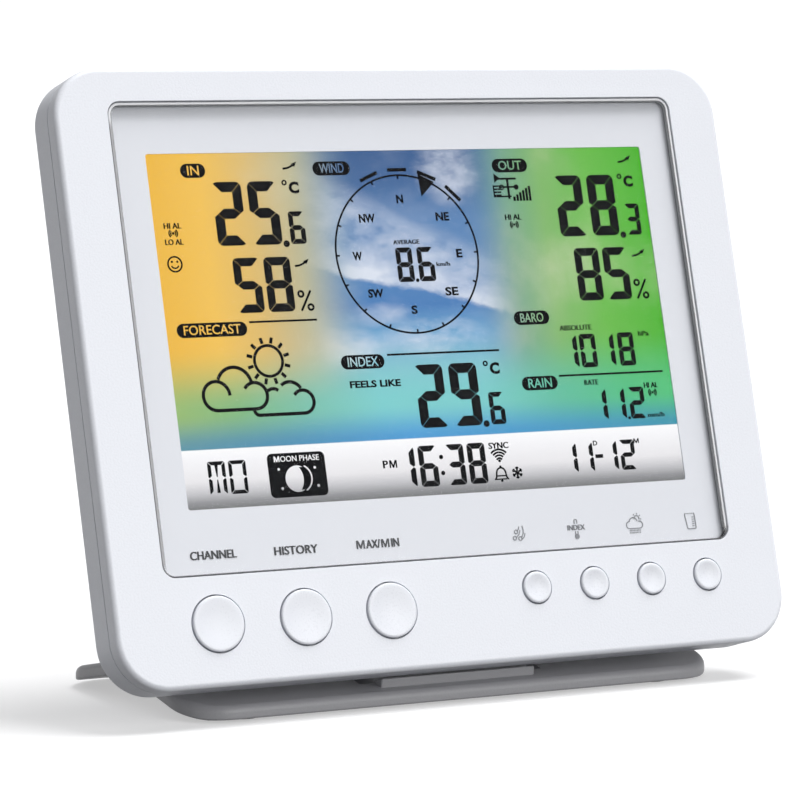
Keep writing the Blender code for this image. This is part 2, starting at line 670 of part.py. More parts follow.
def build_dc_jack(console, behind):
    """Square jack body with a round bore left open round its centre pin."""
    centre = (JACK_X, JACK_Z)
    jack = box("dc_jack", (JACK_X - JACK_HALF, JACK_X + JACK_HALF), (behind, HUMP_Y - WALL - GAP),
               (JACK_Z - JACK_HALF, JACK_Z + JACK_HALF), "black_plastic", console)
    wall = circle(JACK_BORE_R, centre, 20)
    pin = circle(JACK_PIN_R, centre, 20)
    cut(jack, ring_prism("cut_jack_bore", wall, pin, behind + WALL, HUMP_Y, parent=console))


def build_climate_sensor(console):
    """Temperature and humidity element behind the vent slots."""
    y = HUMP_Y - WALL - SENSOR_T - 2 * GAP
    x = (VENT_X - VENT_W / 3, VENT_X + VENT_W / 3)
    z = (VENT_Z - VENT_H, VENT_Z + VENTS * VENT_PITCH)
    box("climate_sensor", x, (y, y + SENSOR_T), z, "led_board_white", console)


def build_coin_cell(console):
    y0 = BAY_Y + CELL_LIFT
    edge = CELL_EDGE
    button_r = CELL_R - 3 * edge
    profile = [(0.0, y0), (button_r, y0), (button_r, y0 + edge), (CELL_R - edge, y0 + edge),
               (CELL_R, y0 + 2 * edge), (CELL_R, y0 + CELL_T - edge), (CELL_R - edge, y0 + CELL_T),
               (0.0, y0 + CELL_T)]
    smooth(lathe("coin_cell", profile, (CELL_X, CELL_Z), 32, "cell_steel", console))
    half_w, half_h = CONTACT_HALF
    low = BAY_Y + GAP
    clip = [(CELL_X - half_w, low), (CELL_X - half_w / 3, low), (CELL_X, low + CONTACT_CROWN),
            (CELL_X + half_w / 3, low), (CELL_X + half_w, low)]
    strip_solid("cell_contact", clip, CONTACT_T, (CELL_Z - half_h, CELL_Z + half_h), "nickel", console)


def strip_solid(name, path, thickness, z, slot, console):
    """Sheet strip that follows (x, y) points, `thickness` deep, between two heights."""
    lower = list(path)
    upper = [(x, y + thickness) for x, y in path]
    outline = lower + upper[::-1]
    count = len(outline)
    verts = [(x, y, level) for level in z for x, y in outline]
    faces = [list(range(count)), list(range(count, 2 * count))]
    for k in range(count):
        nxt = (k + 1) % count
        faces.append([k, nxt, count + nxt, count + k])
    return add_mesh(name, verts, faces, slot, console)


def build_ribbon(console):
    """Flat cable from the key board up to the main board."""
    low_y = KEY_BOARD_Y + BOARD_T + GAP
    high_y = MAIN_Y - RIBBON_T - GAP
    low_z = KEY_BOARD_Z1 - 0.6
    high_z = MAIN_Z0 + 1.0
    third = (high_y - low_y) / 3
    rise = (high_z - low_z) / 3
    path = [(low_y, low_z - 3.0), (low_y, low_z), (low_y + third, low_z + rise),
            (high_y - third, high_z - rise), (high_y, high_z), (high_y, high_z + 3.0)]
    verts = []
    for y, z in path:
        for x in RIBBON_X:
            verts.append((x, y, z))
            verts.append((x, y + RIBBON_T, z))
    faces = [[0, 1, 3, 2]]
    for k in range(len(path) - 1):
        a = 4 * k
        b = a + 4
        faces.extend([[a, a + 1, b + 1, b], [a + 1, a + 3, b + 3, b + 1], [a + 3, a + 2, b + 2, b + 3],
                      [a + 2, a, b, b + 2]])
    end = 4 * (len(path) - 1)
    faces.append([end, end + 1, end + 3, end + 2])
    add_mesh("ribbon_cable", verts, faces, "ribbon_grey", console)


def build_screws(console):
    seat = SCREW_SEAT_Y + GAP
    top = seat + SCREW_HEAD_T
    for name, x, z in SCREWS:
        profile = [(0.0, SCREW_TIP_Y), (SCREW_SHANK_R, SCREW_TIP_Y + 0.2), (SCREW_SHANK_R, seat),
                   (SCREW_HEAD_R, seat), (SCREW_HEAD_R, top - 0.6), (SCREW_HEAD_R - 0.6, top), (0.0, top)]
        screw = lathe(name, profile, (x, z), 16, "screw_steel", console)
        length, width, depth = SCREW_CROSS
        for k, (w, h) in enumerate(((length, width), (width, length)), 1):
            cut(screw, box(f"cut_{name}_{k}", (x - w / 2, x + w / 2), (top - depth, top + REACH),
                           (z - h / 2, z + h / 2), parent=console))
        smooth(screw)


# ---- stand ----------------------------------------------------------------------------------------------
def plate_height(y):
    """Underside height of the arched plate at depth y."""
    slope = math.tan(math.radians(STAND_SLOPE_DEG))
    middle = (STAND_Y0 + STAND_Y1) / 2
    run = middle - STAND_Y0 - STAND_LIP
    away = abs(y - middle)
    if away >= run:
        return STAND_LIFT
    blend = STAND_RIDGE_R * math.sin(math.radians(STAND_SLOPE_DEG))
    if away >= blend:
        return STAND_LIFT + (run - away) * slope
    edge = STAND_LIFT + (run - blend) * slope
    sag = math.sqrt(STAND_RIDGE_R ** 2 - away ** 2) - math.sqrt(STAND_RIDGE_R ** 2 - blend ** 2)
    return edge + sag


def console_to_world(y, z):
    """Console-frame depth and height as world depth and height, millimetres."""
    return (FACE_SETBACK + y * math.cos(LEAN) + z * math.sin(LEAN),
            FACE_LIFT - y * math.sin(LEAN) + z * math.cos(LEAN))


def side_prism(name, outline, half_width, slot=None, parent=None):
    """Extrude a (y, z) outline evenly to both sides of the stand's middle."""
    count = len(outline)
    verts = [(x, y, z) for x in (STAND_X - half_width, STAND_X + half_width) for y, z in outline]
    faces = [list(range(count)), list(range(count, 2 * count))]
    for k in range(count):
        nxt = (k + 1) % count
        faces.append([k, nxt, count + nxt, count + k])
    return add_mesh(name, verts, faces, slot, parent)


def upright_prism(name, loop, z0, z1):
    """Extrude an (x, y) outline upwards, for plan-view cutters."""
    verts = [(x, y, z) for z in (z0, z1) for x, y in loop]
    _, faces = stack_data([(loop, 0.0), (loop, 1.0)])
    return add_mesh(name, verts, faces)


def stand_plan(y):
    return FACE_SETBACK + y


def build_stand_plate():
    middle = (STAND_Y0 + STAND_Y1) / 2
    blend = STAND_RIDGE_R * math.sin(math.radians(STAND_SLOPE_DEG))
    depths = [STAND_Y0 - 1.0, STAND_Y0 + STAND_LIP]
    depths += [middle + blend * k / 3 for k in range(-3, 4)]
    depths += [STAND_Y1 - STAND_LIP, STAND_Y1 + 1.0]
    under = [(stand_plan(y), plate_height(y)) for y in depths]
    over = [(y, z + STAND_T) for y, z in reversed(under)]
    plate = side_prism("stand_base", under + over, STAND_W / 2 + 1.0, "stand_grey")
    plan = rounded_rect(STAND_W, STAND_Y1 - STAND_Y0, STAND_R, (STAND_X, stand_plan(middle)))
    boolean(plate, upright_prism("keep_stand_plan", plan, *PLAN_SPAN), "INTERSECT")
    bevel(plate, STAND_EDGE, 3, 60.0)
    return plate


def add_stand_block(plate):
    """Raised block the console sits on, with the tongue that plugs into it."""
    seat = -BLOCK_GAP
    shoulder = HUMP_Z0 - 1.5 * BLOCK_GAP
    corners = [console_to_world(BLOCK_FRONT, seat), console_to_world(BLOCK_STEP, seat),
               console_to_world(BLOCK_STEP, shoulder), console_to_world(BLOCK_BACK, shoulder)]
    front_foot = corners[0][0] + 0.2
    back_foot = corners[3][0] - 1.0
    for y in (back_foot, front_foot):
        corners.append((y, plate_height(y - FACE_SETBACK) + STAND_T / 2))
    fuse(plate, side_prism("add_block", corners, BLOCK_W / 2))
    nose = TONGUE_TOP - TONGUE_CHAMFER
    outline = ((TONGUE_Y0, seat), (TONGUE_Y1, seat), (TONGUE_Y1, nose),
               (TONGUE_Y1 - TONGUE_CHAMFER, TONGUE_TOP), (TONGUE_Y0 + TONGUE_CHAMFER, TONGUE_TOP),
               (TONGUE_Y0, nose))
    tongue = [console_to_world(y, z) for y, z in outline]
    fuse(plate, side_prism("add_tongue", tongue, TONGUE_W / 2))


def build_stand():
    plate = build_stand_plate()
    add_stand_block(plate)
    for name, side in (("cut_relief_left", -1), ("cut_relief_right", 1)):
        inner = STAND_X + side * (BLOCK_W / 2 + 0.02)
        outer = STAND_X + side * (BLOCK_W / 2 + RELIEF_W)
        loop = [(inner, stand_plan(RELIEF_Y0)), (outer, stand_plan(RELIEF_Y0)),
                (outer, stand_plan(RELIEF_Y1)), (inner, stand_plan(RELIEF_Y1))]
        cut(plate, upright_prism(name, loop, *PLAN_SPAN))
    for name, x, y in FEET:
        pocket = circle(FOOT_R + GAP, (x, stand_plan(y)), 20)
        cut(plate, upright_prism("cut_" + name, pocket, -1.0, FOOT_T + GAP))
        foot = circle(FOOT_R, (x, stand_plan(y)), 20)
        verts = [(px, py, pz) for pz in (0.0, FOOT_T) for px, py in foot]
        _, faces = stack_data([(foot, 0.0), (foot, 1.0)])
        smooth(add_mesh(name, verts, faces, "foot_rubber"))
    smooth(plate)


def build_console():
    console = bpy.data.objects.new("console_frame", None)
    bpy.context.scene.collection.objects.link(console)
    console.location = Vector((0.0, FACE_SETBACK, FACE_LIFT)) * MM
    console.rotation_euler = (-LEAN, 0.0, 0.0)
    build_front_shell(console)
    build_rear_shell(console)
    build_display(console)
    build_front_buttons(console)
    build_keypad(console)
    build_snooze_bar(console)
    build_rear_controls(console)
    build_battery_door(console)
    build_main_board(console)
    build_coin_cell(console)
    build_ribbon(console)
    build_screws(console)


clear_scene()
make_materials()
build_console()
build_stand()
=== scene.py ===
import json
from math import atan2, cos, degrees, pi, radians, sin, sqrt, tan

import bmesh
import bpy
from mathutils import Matrix, Vector


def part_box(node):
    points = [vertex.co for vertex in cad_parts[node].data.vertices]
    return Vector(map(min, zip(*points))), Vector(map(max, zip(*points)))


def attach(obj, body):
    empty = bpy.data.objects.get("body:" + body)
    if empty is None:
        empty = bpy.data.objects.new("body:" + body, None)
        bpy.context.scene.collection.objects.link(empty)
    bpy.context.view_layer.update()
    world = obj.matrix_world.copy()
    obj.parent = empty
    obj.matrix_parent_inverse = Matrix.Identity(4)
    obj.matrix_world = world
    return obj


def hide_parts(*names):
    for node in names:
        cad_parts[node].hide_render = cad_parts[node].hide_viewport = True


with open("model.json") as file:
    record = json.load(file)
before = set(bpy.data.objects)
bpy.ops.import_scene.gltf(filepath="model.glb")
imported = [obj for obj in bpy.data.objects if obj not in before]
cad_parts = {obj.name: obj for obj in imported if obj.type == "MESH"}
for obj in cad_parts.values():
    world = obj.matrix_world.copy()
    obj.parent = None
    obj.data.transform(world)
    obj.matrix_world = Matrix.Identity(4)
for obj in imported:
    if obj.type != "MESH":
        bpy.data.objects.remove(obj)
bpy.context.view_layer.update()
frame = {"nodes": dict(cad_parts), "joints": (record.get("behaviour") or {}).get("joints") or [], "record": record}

# Lengths are millimetres in the console's own frame: X right, Y into the case, Z up the
# face, origin at the middle of the face's lower edge. The stand is in the world frame.
MM = 0.001
GAP = 0.3

# ---- case ----
CASE_W, CASE_H, CASE_R = 168.0, 135.0, 11.5
FACE_FILLET = 1.2
FACE_T = 2.2
WALL = 2.0
PART_Y = 4.0
RIM_Y, RIM_FILLET = 12.0, 1.5
HUMP_Y, HUMP_FILLET, HUMP_DRAFT = 24.0, 2.0, 1.6
HUMP_W, HUMP_R = 146.0, 12.0
HUMP_Z = (6.5, 126.0)
CORNER_STEPS = 20

# ---- window and display ----
WIN_W, WIN_H, WIN_R, WIN_Z = 143.0, 103.8, 3.0, 75.6
WIN_EDGE = 0.15
LENS_GAP = 0.2
RIM_LINE = 0.52  # width of the lens's cut edge band, painted bright as a highlight at the top and right
LENS_Y, LENS_T = 0.3, 1.2
LEDGE_Y, LEDGE_T = 2.5, 1.5
LEDGE_SIZE, LEDGE_R = (134.0, 95.0), 3.0
FLANGE_SIZE, FLANGE_R = (147.0, 108.0), 5.0
LCD_W, LCD_H, LCD_Z = 126.0, 78.0, 77.2
STRIP_H = 13.0  # height of the display's pale strip
GLASS_SIZE, GLASS_Y, GLASS_T = (131.0, 86.0), 2.6, 2.0
INK = (2.48, 2.57)  # depths of the dark display marks
INK_TOP = (2.36, 2.45)  # depths of light marks that lie on dark ones
INK_OVER = (2.24, 2.33)  # depths of the dark mark that lies on a light one
PRINT = (1.70, 1.77)  # depths of the print on the border

# ---- front buttons ----
BIG_R, BIG_Z = 6.0, 13.4
SMALL_R, SMALL_Z = 3.5, 16.0
BUTTONS = (("button_channel", -60.1, BIG_Z, BIG_R), ("button_history", -39.1, BIG_Z, BIG_R),
           ("button_max_min", -18.1, BIG_Z, BIG_R), ("button_wind", 19.0, SMALL_Z, SMALL_R),
           ("button_index", 34.0, SMALL_Z, SMALL_R), ("button_rain", 49.0, SMALL_Z, SMALL_R),
           ("button_baro", 64.0, SMALL_Z, SMALL_R))
BUTTON_PROUD, BUTTON_DISH = 0.5, 0.45
HOLE_EDGE, CAP_ROLL = 0.12, 0.5

# ---- rear features ----
SCREWS = ((-77.3, 10.0), (77.3, 10.0), (-77.3, 125.0), (77.3, 125.0))
SCREW_SEAT_Y, SEAT_R, HEAD_R = 8.0, 4.1, 2.8
BOSS_Y, BOSS_R, PILOT_Y, PILOT_R = 6.2, 3.1, 2.4, 1.4
KEY_Z, KEY_W, KEY_H = 113.0, 9.0, 5.0
KEY_XS = (-50.0, -35.0, -20.0, -5.0)
# Openings are given as a place, then width, height and corner radius, or a radius.
SWITCH_X, SWITCH_SLOT = 22.0, (11.0, 4.0, 1.0)
RESET_X, RESET_R = 44.0, 1.1
JACK_AT, JACK_R = (50.0, 40.0), 4.0
VENT_AT, VENT_STEP, VENT_SLOT = (26.0, 72.0), 4.0, (16.0, 1.6, 0.75)
KEYHOLE_XS, KEYHOLE_Z, KEYHOLE_R, KEYHOLE_SLOT = (-42.0, 42.0), 84.0, 4.2, (4.2, 9.0, 2.05)
SNOOZE_SLOT, SNOOZE_Y = (62.6, 5.0, 2.2), 7.0
SOCKET_Y, SOCKET_TOP, SOCKET_WALL = (14.5, 20.5), 17.0, 1.8
CELL_AT, BAY_R, BAY_Y = (-34.0, 58.0), 10.7, 17.0
DOOR_SIZE, DOOR_R, DOOR_T = (31.0, 29.0), 2.0, 1.4
STANDOFFS = ((-52.0, 32.0), (52.0, 32.0), (-52.0, 98.0), (52.0, 98.0))
STANDOFF_R, STANDOFF_Y = 2.4, 14.3

# ---- stand ----
STAND_X, STAND_W, STAND_Y0, STAND_Y1, STAND_R = 1.6, 134.5, 4.8, 73.0, 11.0
STAND_T, STAND_LIFT, STAND_LIP = 3.2, 0.7, 2.6
STAND_SLOPE, RIDGE_R = radians(11.0), 30.0
STAND_EDGE, STAND_UNDER_EDGE = 1.7, 0.5
BLOCK_W, TONGUE_W, RELIEF_Y = 39.0, 34.4, (12.0, 20.0)
FOOT_SEAT_R, FOOT_SEAT_Z = 4.3, 2.7
FEET = ((-50.4, 12.3), (53.6, 12.3), (-50.4, 65.5), (53.6, 65.5))


# ---- placement ----
def console_frame():
    """Matrix from the console's frame to the world."""
    axis = next(j for j in frame["joints"] if j["name"] == "console_lift")["axis"]
    lean = atan2(axis[1], axis[2])
    c, s = cos(lean), sin(lean)
    low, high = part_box("display_lens")
    bottom, top = WIN_Z - WIN_H / 2 + GAP, WIN_Z + WIN_H / 2 - GAP
    y = low.y - (LENS_Y * c + bottom * s) * MM
    z = high.z - (top * c - LENS_Y * s) * MM
    return Matrix.Translation((0.0, y, z)) @ Matrix.Rotation(-lean, 4, "X")


CONSOLE = console_frame()
WORLD = Matrix.Identity(4)
FACE_SETBACK = CONSOLE.translation.y / MM


# ---- outlines ----
def arc(centre, radius, start, end, steps=6):
    """Points on an arc from one angle to another, in degrees."""
    points = []
    for k in range(steps + 1):
        turn = radians(start + (end - start) * k / steps)
        points.append((centre[0] + radius * cos(turn), centre[1] + radius * sin(turn)))
    return points


def circle(radius, centre=(0.0, 0.0), segments=48):
    return arc(centre, radius, 0.0, 360.0, segments)[:-1]


def rounded_rect(width, height, radius, centre=(0.0, 0.0), steps=CORNER_STEPS):
    """Counter-clockwise loop of a rounded rectangle."""
    loop = []
    for sx, sz, start in ((1, 1, 0.0), (-1, 1, 90.0), (-1, -1, 180.0), (1, -1, 270.0)):
        middle = (centre[0] + sx * (width / 2 - radius), centre[1] + sz * (height / 2 - radius))
        loop.extend(arc(middle, radius, start, start + 90.0, steps))
    return loop


def fillet(radius, steps=7):
    """(inset, depth) pairs from a flat end round to a side wall."""
    turns = [pi / 2 * k / steps for k in range(steps + 1)]
    return [(radius * (1 - sin(t)), radius * (1 - cos(t))) for t in turns]


# ---- solids ----
def add_object(obj):
    bpy.context.scene.collection.objects.link(obj)


def solid(name, verts, faces, place=CONSOLE):
    mesh = bpy.data.meshes.new(name)
    mesh.from_pydata([Vector(v) * MM for v in verts], [], faces)
    bm = bmesh.new()
    bm.from_mesh(mesh)
    bmesh.ops.recalc_face_normals(bm, faces=bm.faces)
    bm.to_mesh(mesh)
    bm.free()
    obj = bpy.data.objects.new(name, mesh)
    add_object(obj)
    obj.matrix_world = place
    return obj


def loft(rings):
    """Faces of a closed solid through equal rings of points; returns (verts, faces)."""
    count = len(rings[0])
    verts = [p for ring in rings for p in ring]
    faces = [list(range(count))]
    for level in range(len(rings) - 1):
        a = level * count
        for k in range(count):
            nxt = (k + 1) % count
            faces.append([a + k, a + nxt, a + count + nxt, a + count + k])
    faces.append(list(range((len(rings) - 1) * count, len(rings) * count)))
    return verts, faces


def stack(name, sections, place=CONSOLE):
    """Solid through (loop, depth) sections."""
    return solid(name, *loft([[(x, y, z) for x, z in loop] for loop, y in sections]), place)


def prism(name, loop, y0, y1):
    return stack(name, [(loop, y0), (loop, y1)])


def chamfered(name, loop_at, y0, y1, edge):
    """Prism with both rims rounded off; loop_at(inset) gives its outline."""
    front = [(loop_at(inset), y0 + y) for inset, y in fillet(edge, 3)]
    back = [(loop_at(inset), y1 - y) for inset, y in reversed(fillet(edge, 3))]
    return stack(name, front + back)


def upright(name, loop, z0, z1, place=WORLD):
    """Solid through an (x, y) outline, extruded upwards."""
    return solid(name, *loft([[(x, y, z) for x, y in loop] for z in (z0, z1)]), place)


def side_prism(name, outline, half):
    """Solid through a world (y, z) outline, extruded evenly to both sides."""
    rings = [[(x, y, z) for y, z in outline] for x in (STAND_X - half, STAND_X + half)]
    return solid(name, *loft(rings), WORLD)


def turned(name, profile, centre, segments=64):
    """Solid of revolution about the depth axis from (radius, depth) points."""
    rings = [[(x, y, z) for x, z in circle(max(r, 0.02), centre, segments)] for r, y in profile]
    return solid(name, *loft(rings))


def boolean(target, tool, operation="DIFFERENCE"):
    mod = target.modifiers.new(tool.name, "BOOLEAN")
    mod.operation, mod.solver, mod.object = operation, "EXACT", tool


def cut(target, loop, y0, y1):
    boolean(target, prism("t_cut", loop, y0, y1))


def join(target, loop, y0, y1):
    boolean(target, prism("t_join", loop, y0, y1), "UNION")


def bevel(obj, width, segments=4, angle=40.0):
    mod = obj.modifiers.new("edge", "BEVEL")
    mod.width = width * MM
    mod.segments = segments
    mod.limit_method = "ANGLE"
    mod.angle_limit = radians(angle)


def settle(obj):
    """Apply the modifiers and throw away the solids that they used."""
    tools = [m.object for m in obj.modifiers if m.type == "BOOLEAN"]
    graph = bpy.context.evaluated_depsgraph_get()
    mesh = bpy.data.meshes.new_from_object(obj.evaluated_get(graph))
    obj.modifiers.clear()
    obj.data = mesh
    for tool in tools:
        bpy.data.objects.remove(tool, do_unlink=True)


def shade(obj, angle=32.0):
    """Smooth shading that stays crisp at real edges and flat on flat faces."""
    mesh = obj.data
    mesh.polygons.foreach_set("use_smooth", [True] * len(mesh.polygons))
    mesh.set_sharp_from_angle(angle=radians(angle))
    mod = obj.modifiers.new("normals", "WEIGHTED_NORMAL")
    mod.keep_sharp = True


def present(obj, body, slot, replaces, angle=32.0):
    settle(obj)
    shade(obj, angle)
    obj.data.materials.clear()
    obj.data.materials.append(LOOKS[slot])
    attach(obj, body)
    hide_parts(*replaces)


# ---- material helpers ----
def linear(*rgb):
    """Linear RGBA of an 8-bit screen colour."""
    shares = [v / 255.0 for v in rgb]
    return [v / 12.92 if v <= 0.04045 else ((v + 0.055) / 1.055) ** 2.4 for v in shares] + [1.0]


class Nodes:
    """Short calls that add nodes to one tree; all but node() and plug() return an output."""

    def __init__(self, tree):
        self.tree = tree

    def plug(self, socket, value):
        if isinstance(value, bpy.types.NodeSocket):
            self.tree.links.new(value, socket)
        else:
            socket.default_value = value

    def node(self, kind, inputs=None, **settings):
        made = self.tree.nodes.new(kind)
        for key, value in settings.items():
            setattr(made, key, value)
        for key, value in (inputs or {}).items():
            self.plug(made.inputs[key], value)
        return made

    def maths(self, operation, a, b=0.0, clamp=False):
        made = self.node("ShaderNodeMath", {0: a, 1: b}, operation=operation, use_clamp=clamp)
        return made.outputs[0]

    def add(self, a, b, clamp=False):
        return self.maths("ADD", a, b, clamp)

    def sub(self, a, b):
        return self.maths("SUBTRACT", a, b)

    def mul(self, a, b):
        return self.maths("MULTIPLY", a, b)

    def div(self, a, b):
        return self.maths("DIVIDE", a, b)

    def most(self, a, b, clamp=False):
        return self.maths("MAXIMUM", a, b, clamp)

    def span(self, value, low, high, to_low=0.0, to_high=1.0):
        """Smoothly map low..high to to_low..to_high, and stay there outside."""
        made = self.node("ShaderNodeMapRange", {0: value, 1: low, 2: high, 3: to_low, 4: to_high},
                         interpolation_type="SMOOTHSTEP")
        return made.outputs[0]

    def fade(self, value, low, high, strength=1.0):
        """`strength` up to low, nothing past high."""
        return self.span(value, low, high, strength, 0.0)

    def blend(self, factor, a, b):
        return self.node("ShaderNodeMix", {0: factor, 6: a, 7: b}, data_type="RGBA").outputs[2]

    def ramp(self, value, stops):
        made = self.node("ShaderNodeValToRGB", {0: value})
        elements = made.color_ramp.elements
        while len(elements) < len(stops):
            elements.new(0.5)
        for element, (place, colour) in zip(elements, stops):
            element.position = place
            element.color = colour
        return made.outputs[0]

    def picture(self, value, *rows):
        """Ramp whose stops are (place, r, g, b) rows in 8-bit screen colours."""
        return self.ramp(value, [(place, linear(*colour)) for place, *colour in rows])


class Look(Nodes):
    """A new material; its nodes read the object's own coordinates."""

    def __init__(self, name):
        self.mat = bpy.data.materials.new(name)
        self.mat.use_nodes = True
        super().__init__(self.mat.node_tree)
        self.where = self.node("ShaderNodeTexCoord").outputs["Object"]

    def feed(self, name, value):
        self.plug(self.tree.nodes["Principled BSDF"].inputs[name], value)

    def relief(self, height, strength, distance):
        bump = self.node("ShaderNodeBump", {"Height": height, "Strength": strength, "Distance": distance})
        self.feed("Normal", bump.outputs[0])

    def noise(self, size_mm, detail=3.0, rough=0.5, where=None):
        made = self.node("ShaderNodeTexNoise", {"Vector": where or self.where, "Scale": 1.0 / (size_mm * MM),
                                                "Detail": detail, "Roughness": rough})
        return made.outputs[0]


# ---- materials ----
def moulded(name, colour, roughness, grain, bump, fleck, specular=0.5):
    """Moulded finish: fine grain, faint flecks, and slow patches of sheen."""
    t = Look(name)
    fine = t.noise(grain, 2.0)
    dark, light = (tuple(v * (1 + way * fleck) for v in colour) + (1.0,) for way in (-1, 1))
    mixed = t.add(t.mul(fine, 0.75), t.mul(t.noise(24.0), 0.25))
    t.feed("Base Color", t.ramp(mixed, ((0.32, dark), (0.68, light))))
    t.feed("Roughness", t.span(mixed, 0.25, 0.75, roughness - 0.05, roughness + 0.05))
    t.feed("Specular IOR Level", specular)
    t.relief(fine, bump, 0.0004)
    return t.mat


def board_look(name):
    """Green solder mask over copper tracks, with bare tinned pads."""
    t = Look(name)
    tracks = t.node("ShaderNodeTexBrick", {
        "Vector": t.where, "Scale": 90.0, "Mortar Size": 0.05, "Color1": (0.010, 0.10, 0.035, 1.0),
        "Color2": (0.014, 0.13, 0.045, 1.0), "Mortar": (0.03, 0.22, 0.07, 1.0)}).outputs[0]
    cells = t.node("ShaderNodeTexVoronoi", {"Vector": t.where, "Scale": 260.0}, feature="F1").outputs[0]
    pads = t.fade(cells, 0.12, 0.16)
    t.feed("Base Color", t.blend(pads, tracks, (0.62, 0.60, 0.52, 1.0)))
    t.feed("Metallic", t.span(pads, 0.0, 1.0, 0.0, 0.9))
    t.feed("Roughness", t.span(cells, 0.1, 0.5, 0.30, 0.42))
    return t.mat


def brushed(name, colour, roughness):
    """Metal with fine lines drawn along X."""
    t = Look(name)
    drawn = t.node("ShaderNodeMapping", {"Vector": t.where, "Scale": (0.06, 1.0, 1.0)}).outputs[0]
    lines = t.noise(0.12, 4.0, where=drawn)
    dark = tuple(v * 0.86 for v in colour) + (1.0,)
    t.feed("Base Color", t.ramp(lines, ((0.3, dark), (0.7, colour + (1.0,)))))
    t.feed("Roughness", t.span(lines, 0.2, 0.8, roughness - 0.07, roughness + 0.07))
    t.feed("Metallic", 1.0)
    t.relief(lines, 0.06, 0.0002)
    return t.mat


def inside_window(t):
    """Distances in mm from the lens's outline: to its nearest edge, to its right and to its top."""
    half_w, half_h, corner = WIN_W / 2 - LENS_GAP, WIN_H / 2 - LENS_GAP, WIN_R - LENS_GAP
    parts = t.node("ShaderNodeSeparateXYZ", {0: t.where}).outputs
    x, z = t.div(parts[0], MM), t.sub(t.div(parts[2], MM), WIN_Z)
    qx = t.sub(t.maths("ABSOLUTE", x), half_w - corner)
    qz = t.sub(t.maths("ABSOLUTE", z), half_h - corner)
    px, pz = t.most(qx, 0.0), t.most(qz, 0.0)
    round_part = t.maths("SQRT", t.add(t.mul(px, px), t.mul(pz, pz)))
    flat_part = t.maths("MINIMUM", t.most(qx, qz), 0.0)
    edge = t.sub(corner, t.add(round_part, flat_part))
    return edge, t.sub(half_w, x), t.sub(half_h, z)


def lens_look(name):
    """Clear acrylic with a painted cut edge: a painted highlight at the top and right, grey at the left, painted
    dark shade at the foot, and painted shade falling in from the top and right.
    """
    t = Look(name)
    marks = t.noise(9.0, 4.0, 0.6)
    edge, right, top = inside_window(t)
    # Painted highlight: the cut edge band is painted bright near the top and right sides and grey elsewhere.
    painted_highlight = t.most(t.fade(right, 3.0, 6.0), t.fade(top, 3.0, 6.0))
    # Painted shade: the band is painted dark along the foot of the window, and drawn thinner there.
    foot = t.span(top, WIN_H - 4.0, WIN_H - 1.5)
    rim = t.blend(painted_highlight, (0.26, 0.26, 0.27, 1.0), (0.66, 0.67, 0.69, 1.0))
    rim = t.blend(foot, rim, (0.05, 0.05, 0.055, 1.0))
    clear = t.ramp(marks, ((0.2, (0.05, 0.06, 0.07, 1.0)), (0.8, (0.09, 0.10, 0.11, 1.0))))
    tint = t.blend(t.span(edge, RIM_LINE, RIM_LINE + 0.08), rim, (0.12, 0.12, 0.125, 1.0))
    t.feed("Base Color", t.blend(t.span(edge, RIM_LINE + 0.25, RIM_LINE + 0.4), tint, clear))
    t.feed("Roughness", t.span(marks, 0.3, 0.8, 0.03, 0.07))
    wide = t.fade(edge, RIM_LINE + 0.06, RIM_LINE + 0.26, 0.92)
    thin = t.fade(edge, 0.12, 0.38, 0.85)
    cut_edge = t.add(wide, t.mul(foot, t.sub(thin, wide)))
    # Painted shade: dark alpha that fades inwards over 6.5 mm from the top rim and over 3.4 mm from the right rim.
    painted_shade_top = t.mul(t.maths("POWER", t.fade(top, 0.0, 6.5), 1.6), 0.17)
    painted_shade_right = t.mul(t.maths("POWER", t.fade(right, 0.0, 3.4), 1.6), 0.15)
    t.feed("Alpha", t.most(t.most(cut_edge, t.most(painted_shade_top, painted_shade_right)), 0.02))
    return t.mat


# Loose clouds on the display: centre, half size and strength.
LOOSE_CLOUD = (((75.0, 73.5), (10.0, 9.5), 0.62), ((40.0, 33.0), (16.0, 6.5), 0.75),
               ((66.0, 35.5), (16.0, 5.5), 0.65), ((52.0, 41.0), (11.0, 3.2), 0.40))


def oval(t, u, v, centre, half, strength):
    """Soft patch: `strength` at its centre, fading to nothing at its rim."""
    across = t.div(t.sub(u, centre[0]), half[0])
    height = t.div(t.sub(v, centre[1]), half[1])
    return t.fade(t.add(t.mul(across, across), t.mul(height, height)), 0.0, 1.0, strength)


def sky_colour(t, u, v):
    """Blue sky with a bank of cloud that falls from left to right behind the wind dial."""
    blue = t.picture(t.div(v, LCD_H), (0.36, 138, 190, 208), (0.46, 112, 168, 208), (0.55, 70, 124, 184),
                     (0.66, 86, 134, 186), (0.80, 88, 130, 180), (0.91, 64, 102, 152), (1.0, 58, 94, 144))
    drift = t.node("ShaderNodeMapping", {"Vector": t.where, "Rotation": (0.0, 0.45, 0.0),
                                         "Scale": (1.0, 1.0, 1.9)}).outputs[0]
    puffs = t.sub(t.noise(15.0, 7.0, 0.62, drift), 0.5)
    ragged = t.mul(puffs, 14.0)
    crest = t.sub(t.add(v, t.mul(u, 0.46)), 91.0)
    foot = t.sub(t.add(v, t.mul(u, 0.22)), 60.2)
    below_crest = t.fade(t.add(crest, ragged), -3.5, 3.5)
    edge = t.add(foot, t.mul(ragged, 0.45))
    density = t.add(t.span(edge, 0.5, 9.0, 0.82, 0.42), t.mul(puffs, 1.9))
    bank = t.mul(t.mul(below_crest, t.span(edge, -1.0, 0.8)), density)
    loose = 0.0
    for patch in LOOSE_CLOUD:
        loose = t.add(loose, oval(t, u, v, *patch))
    loose = t.mul(loose, t.add(0.7, t.mul(puffs, 3.4)))
    cover = t.add(t.most(bank, loose, clamp=True), t.mul(puffs, 0.5), clamp=True)
    return t.blend(cover, blue, linear(220, 227, 240))


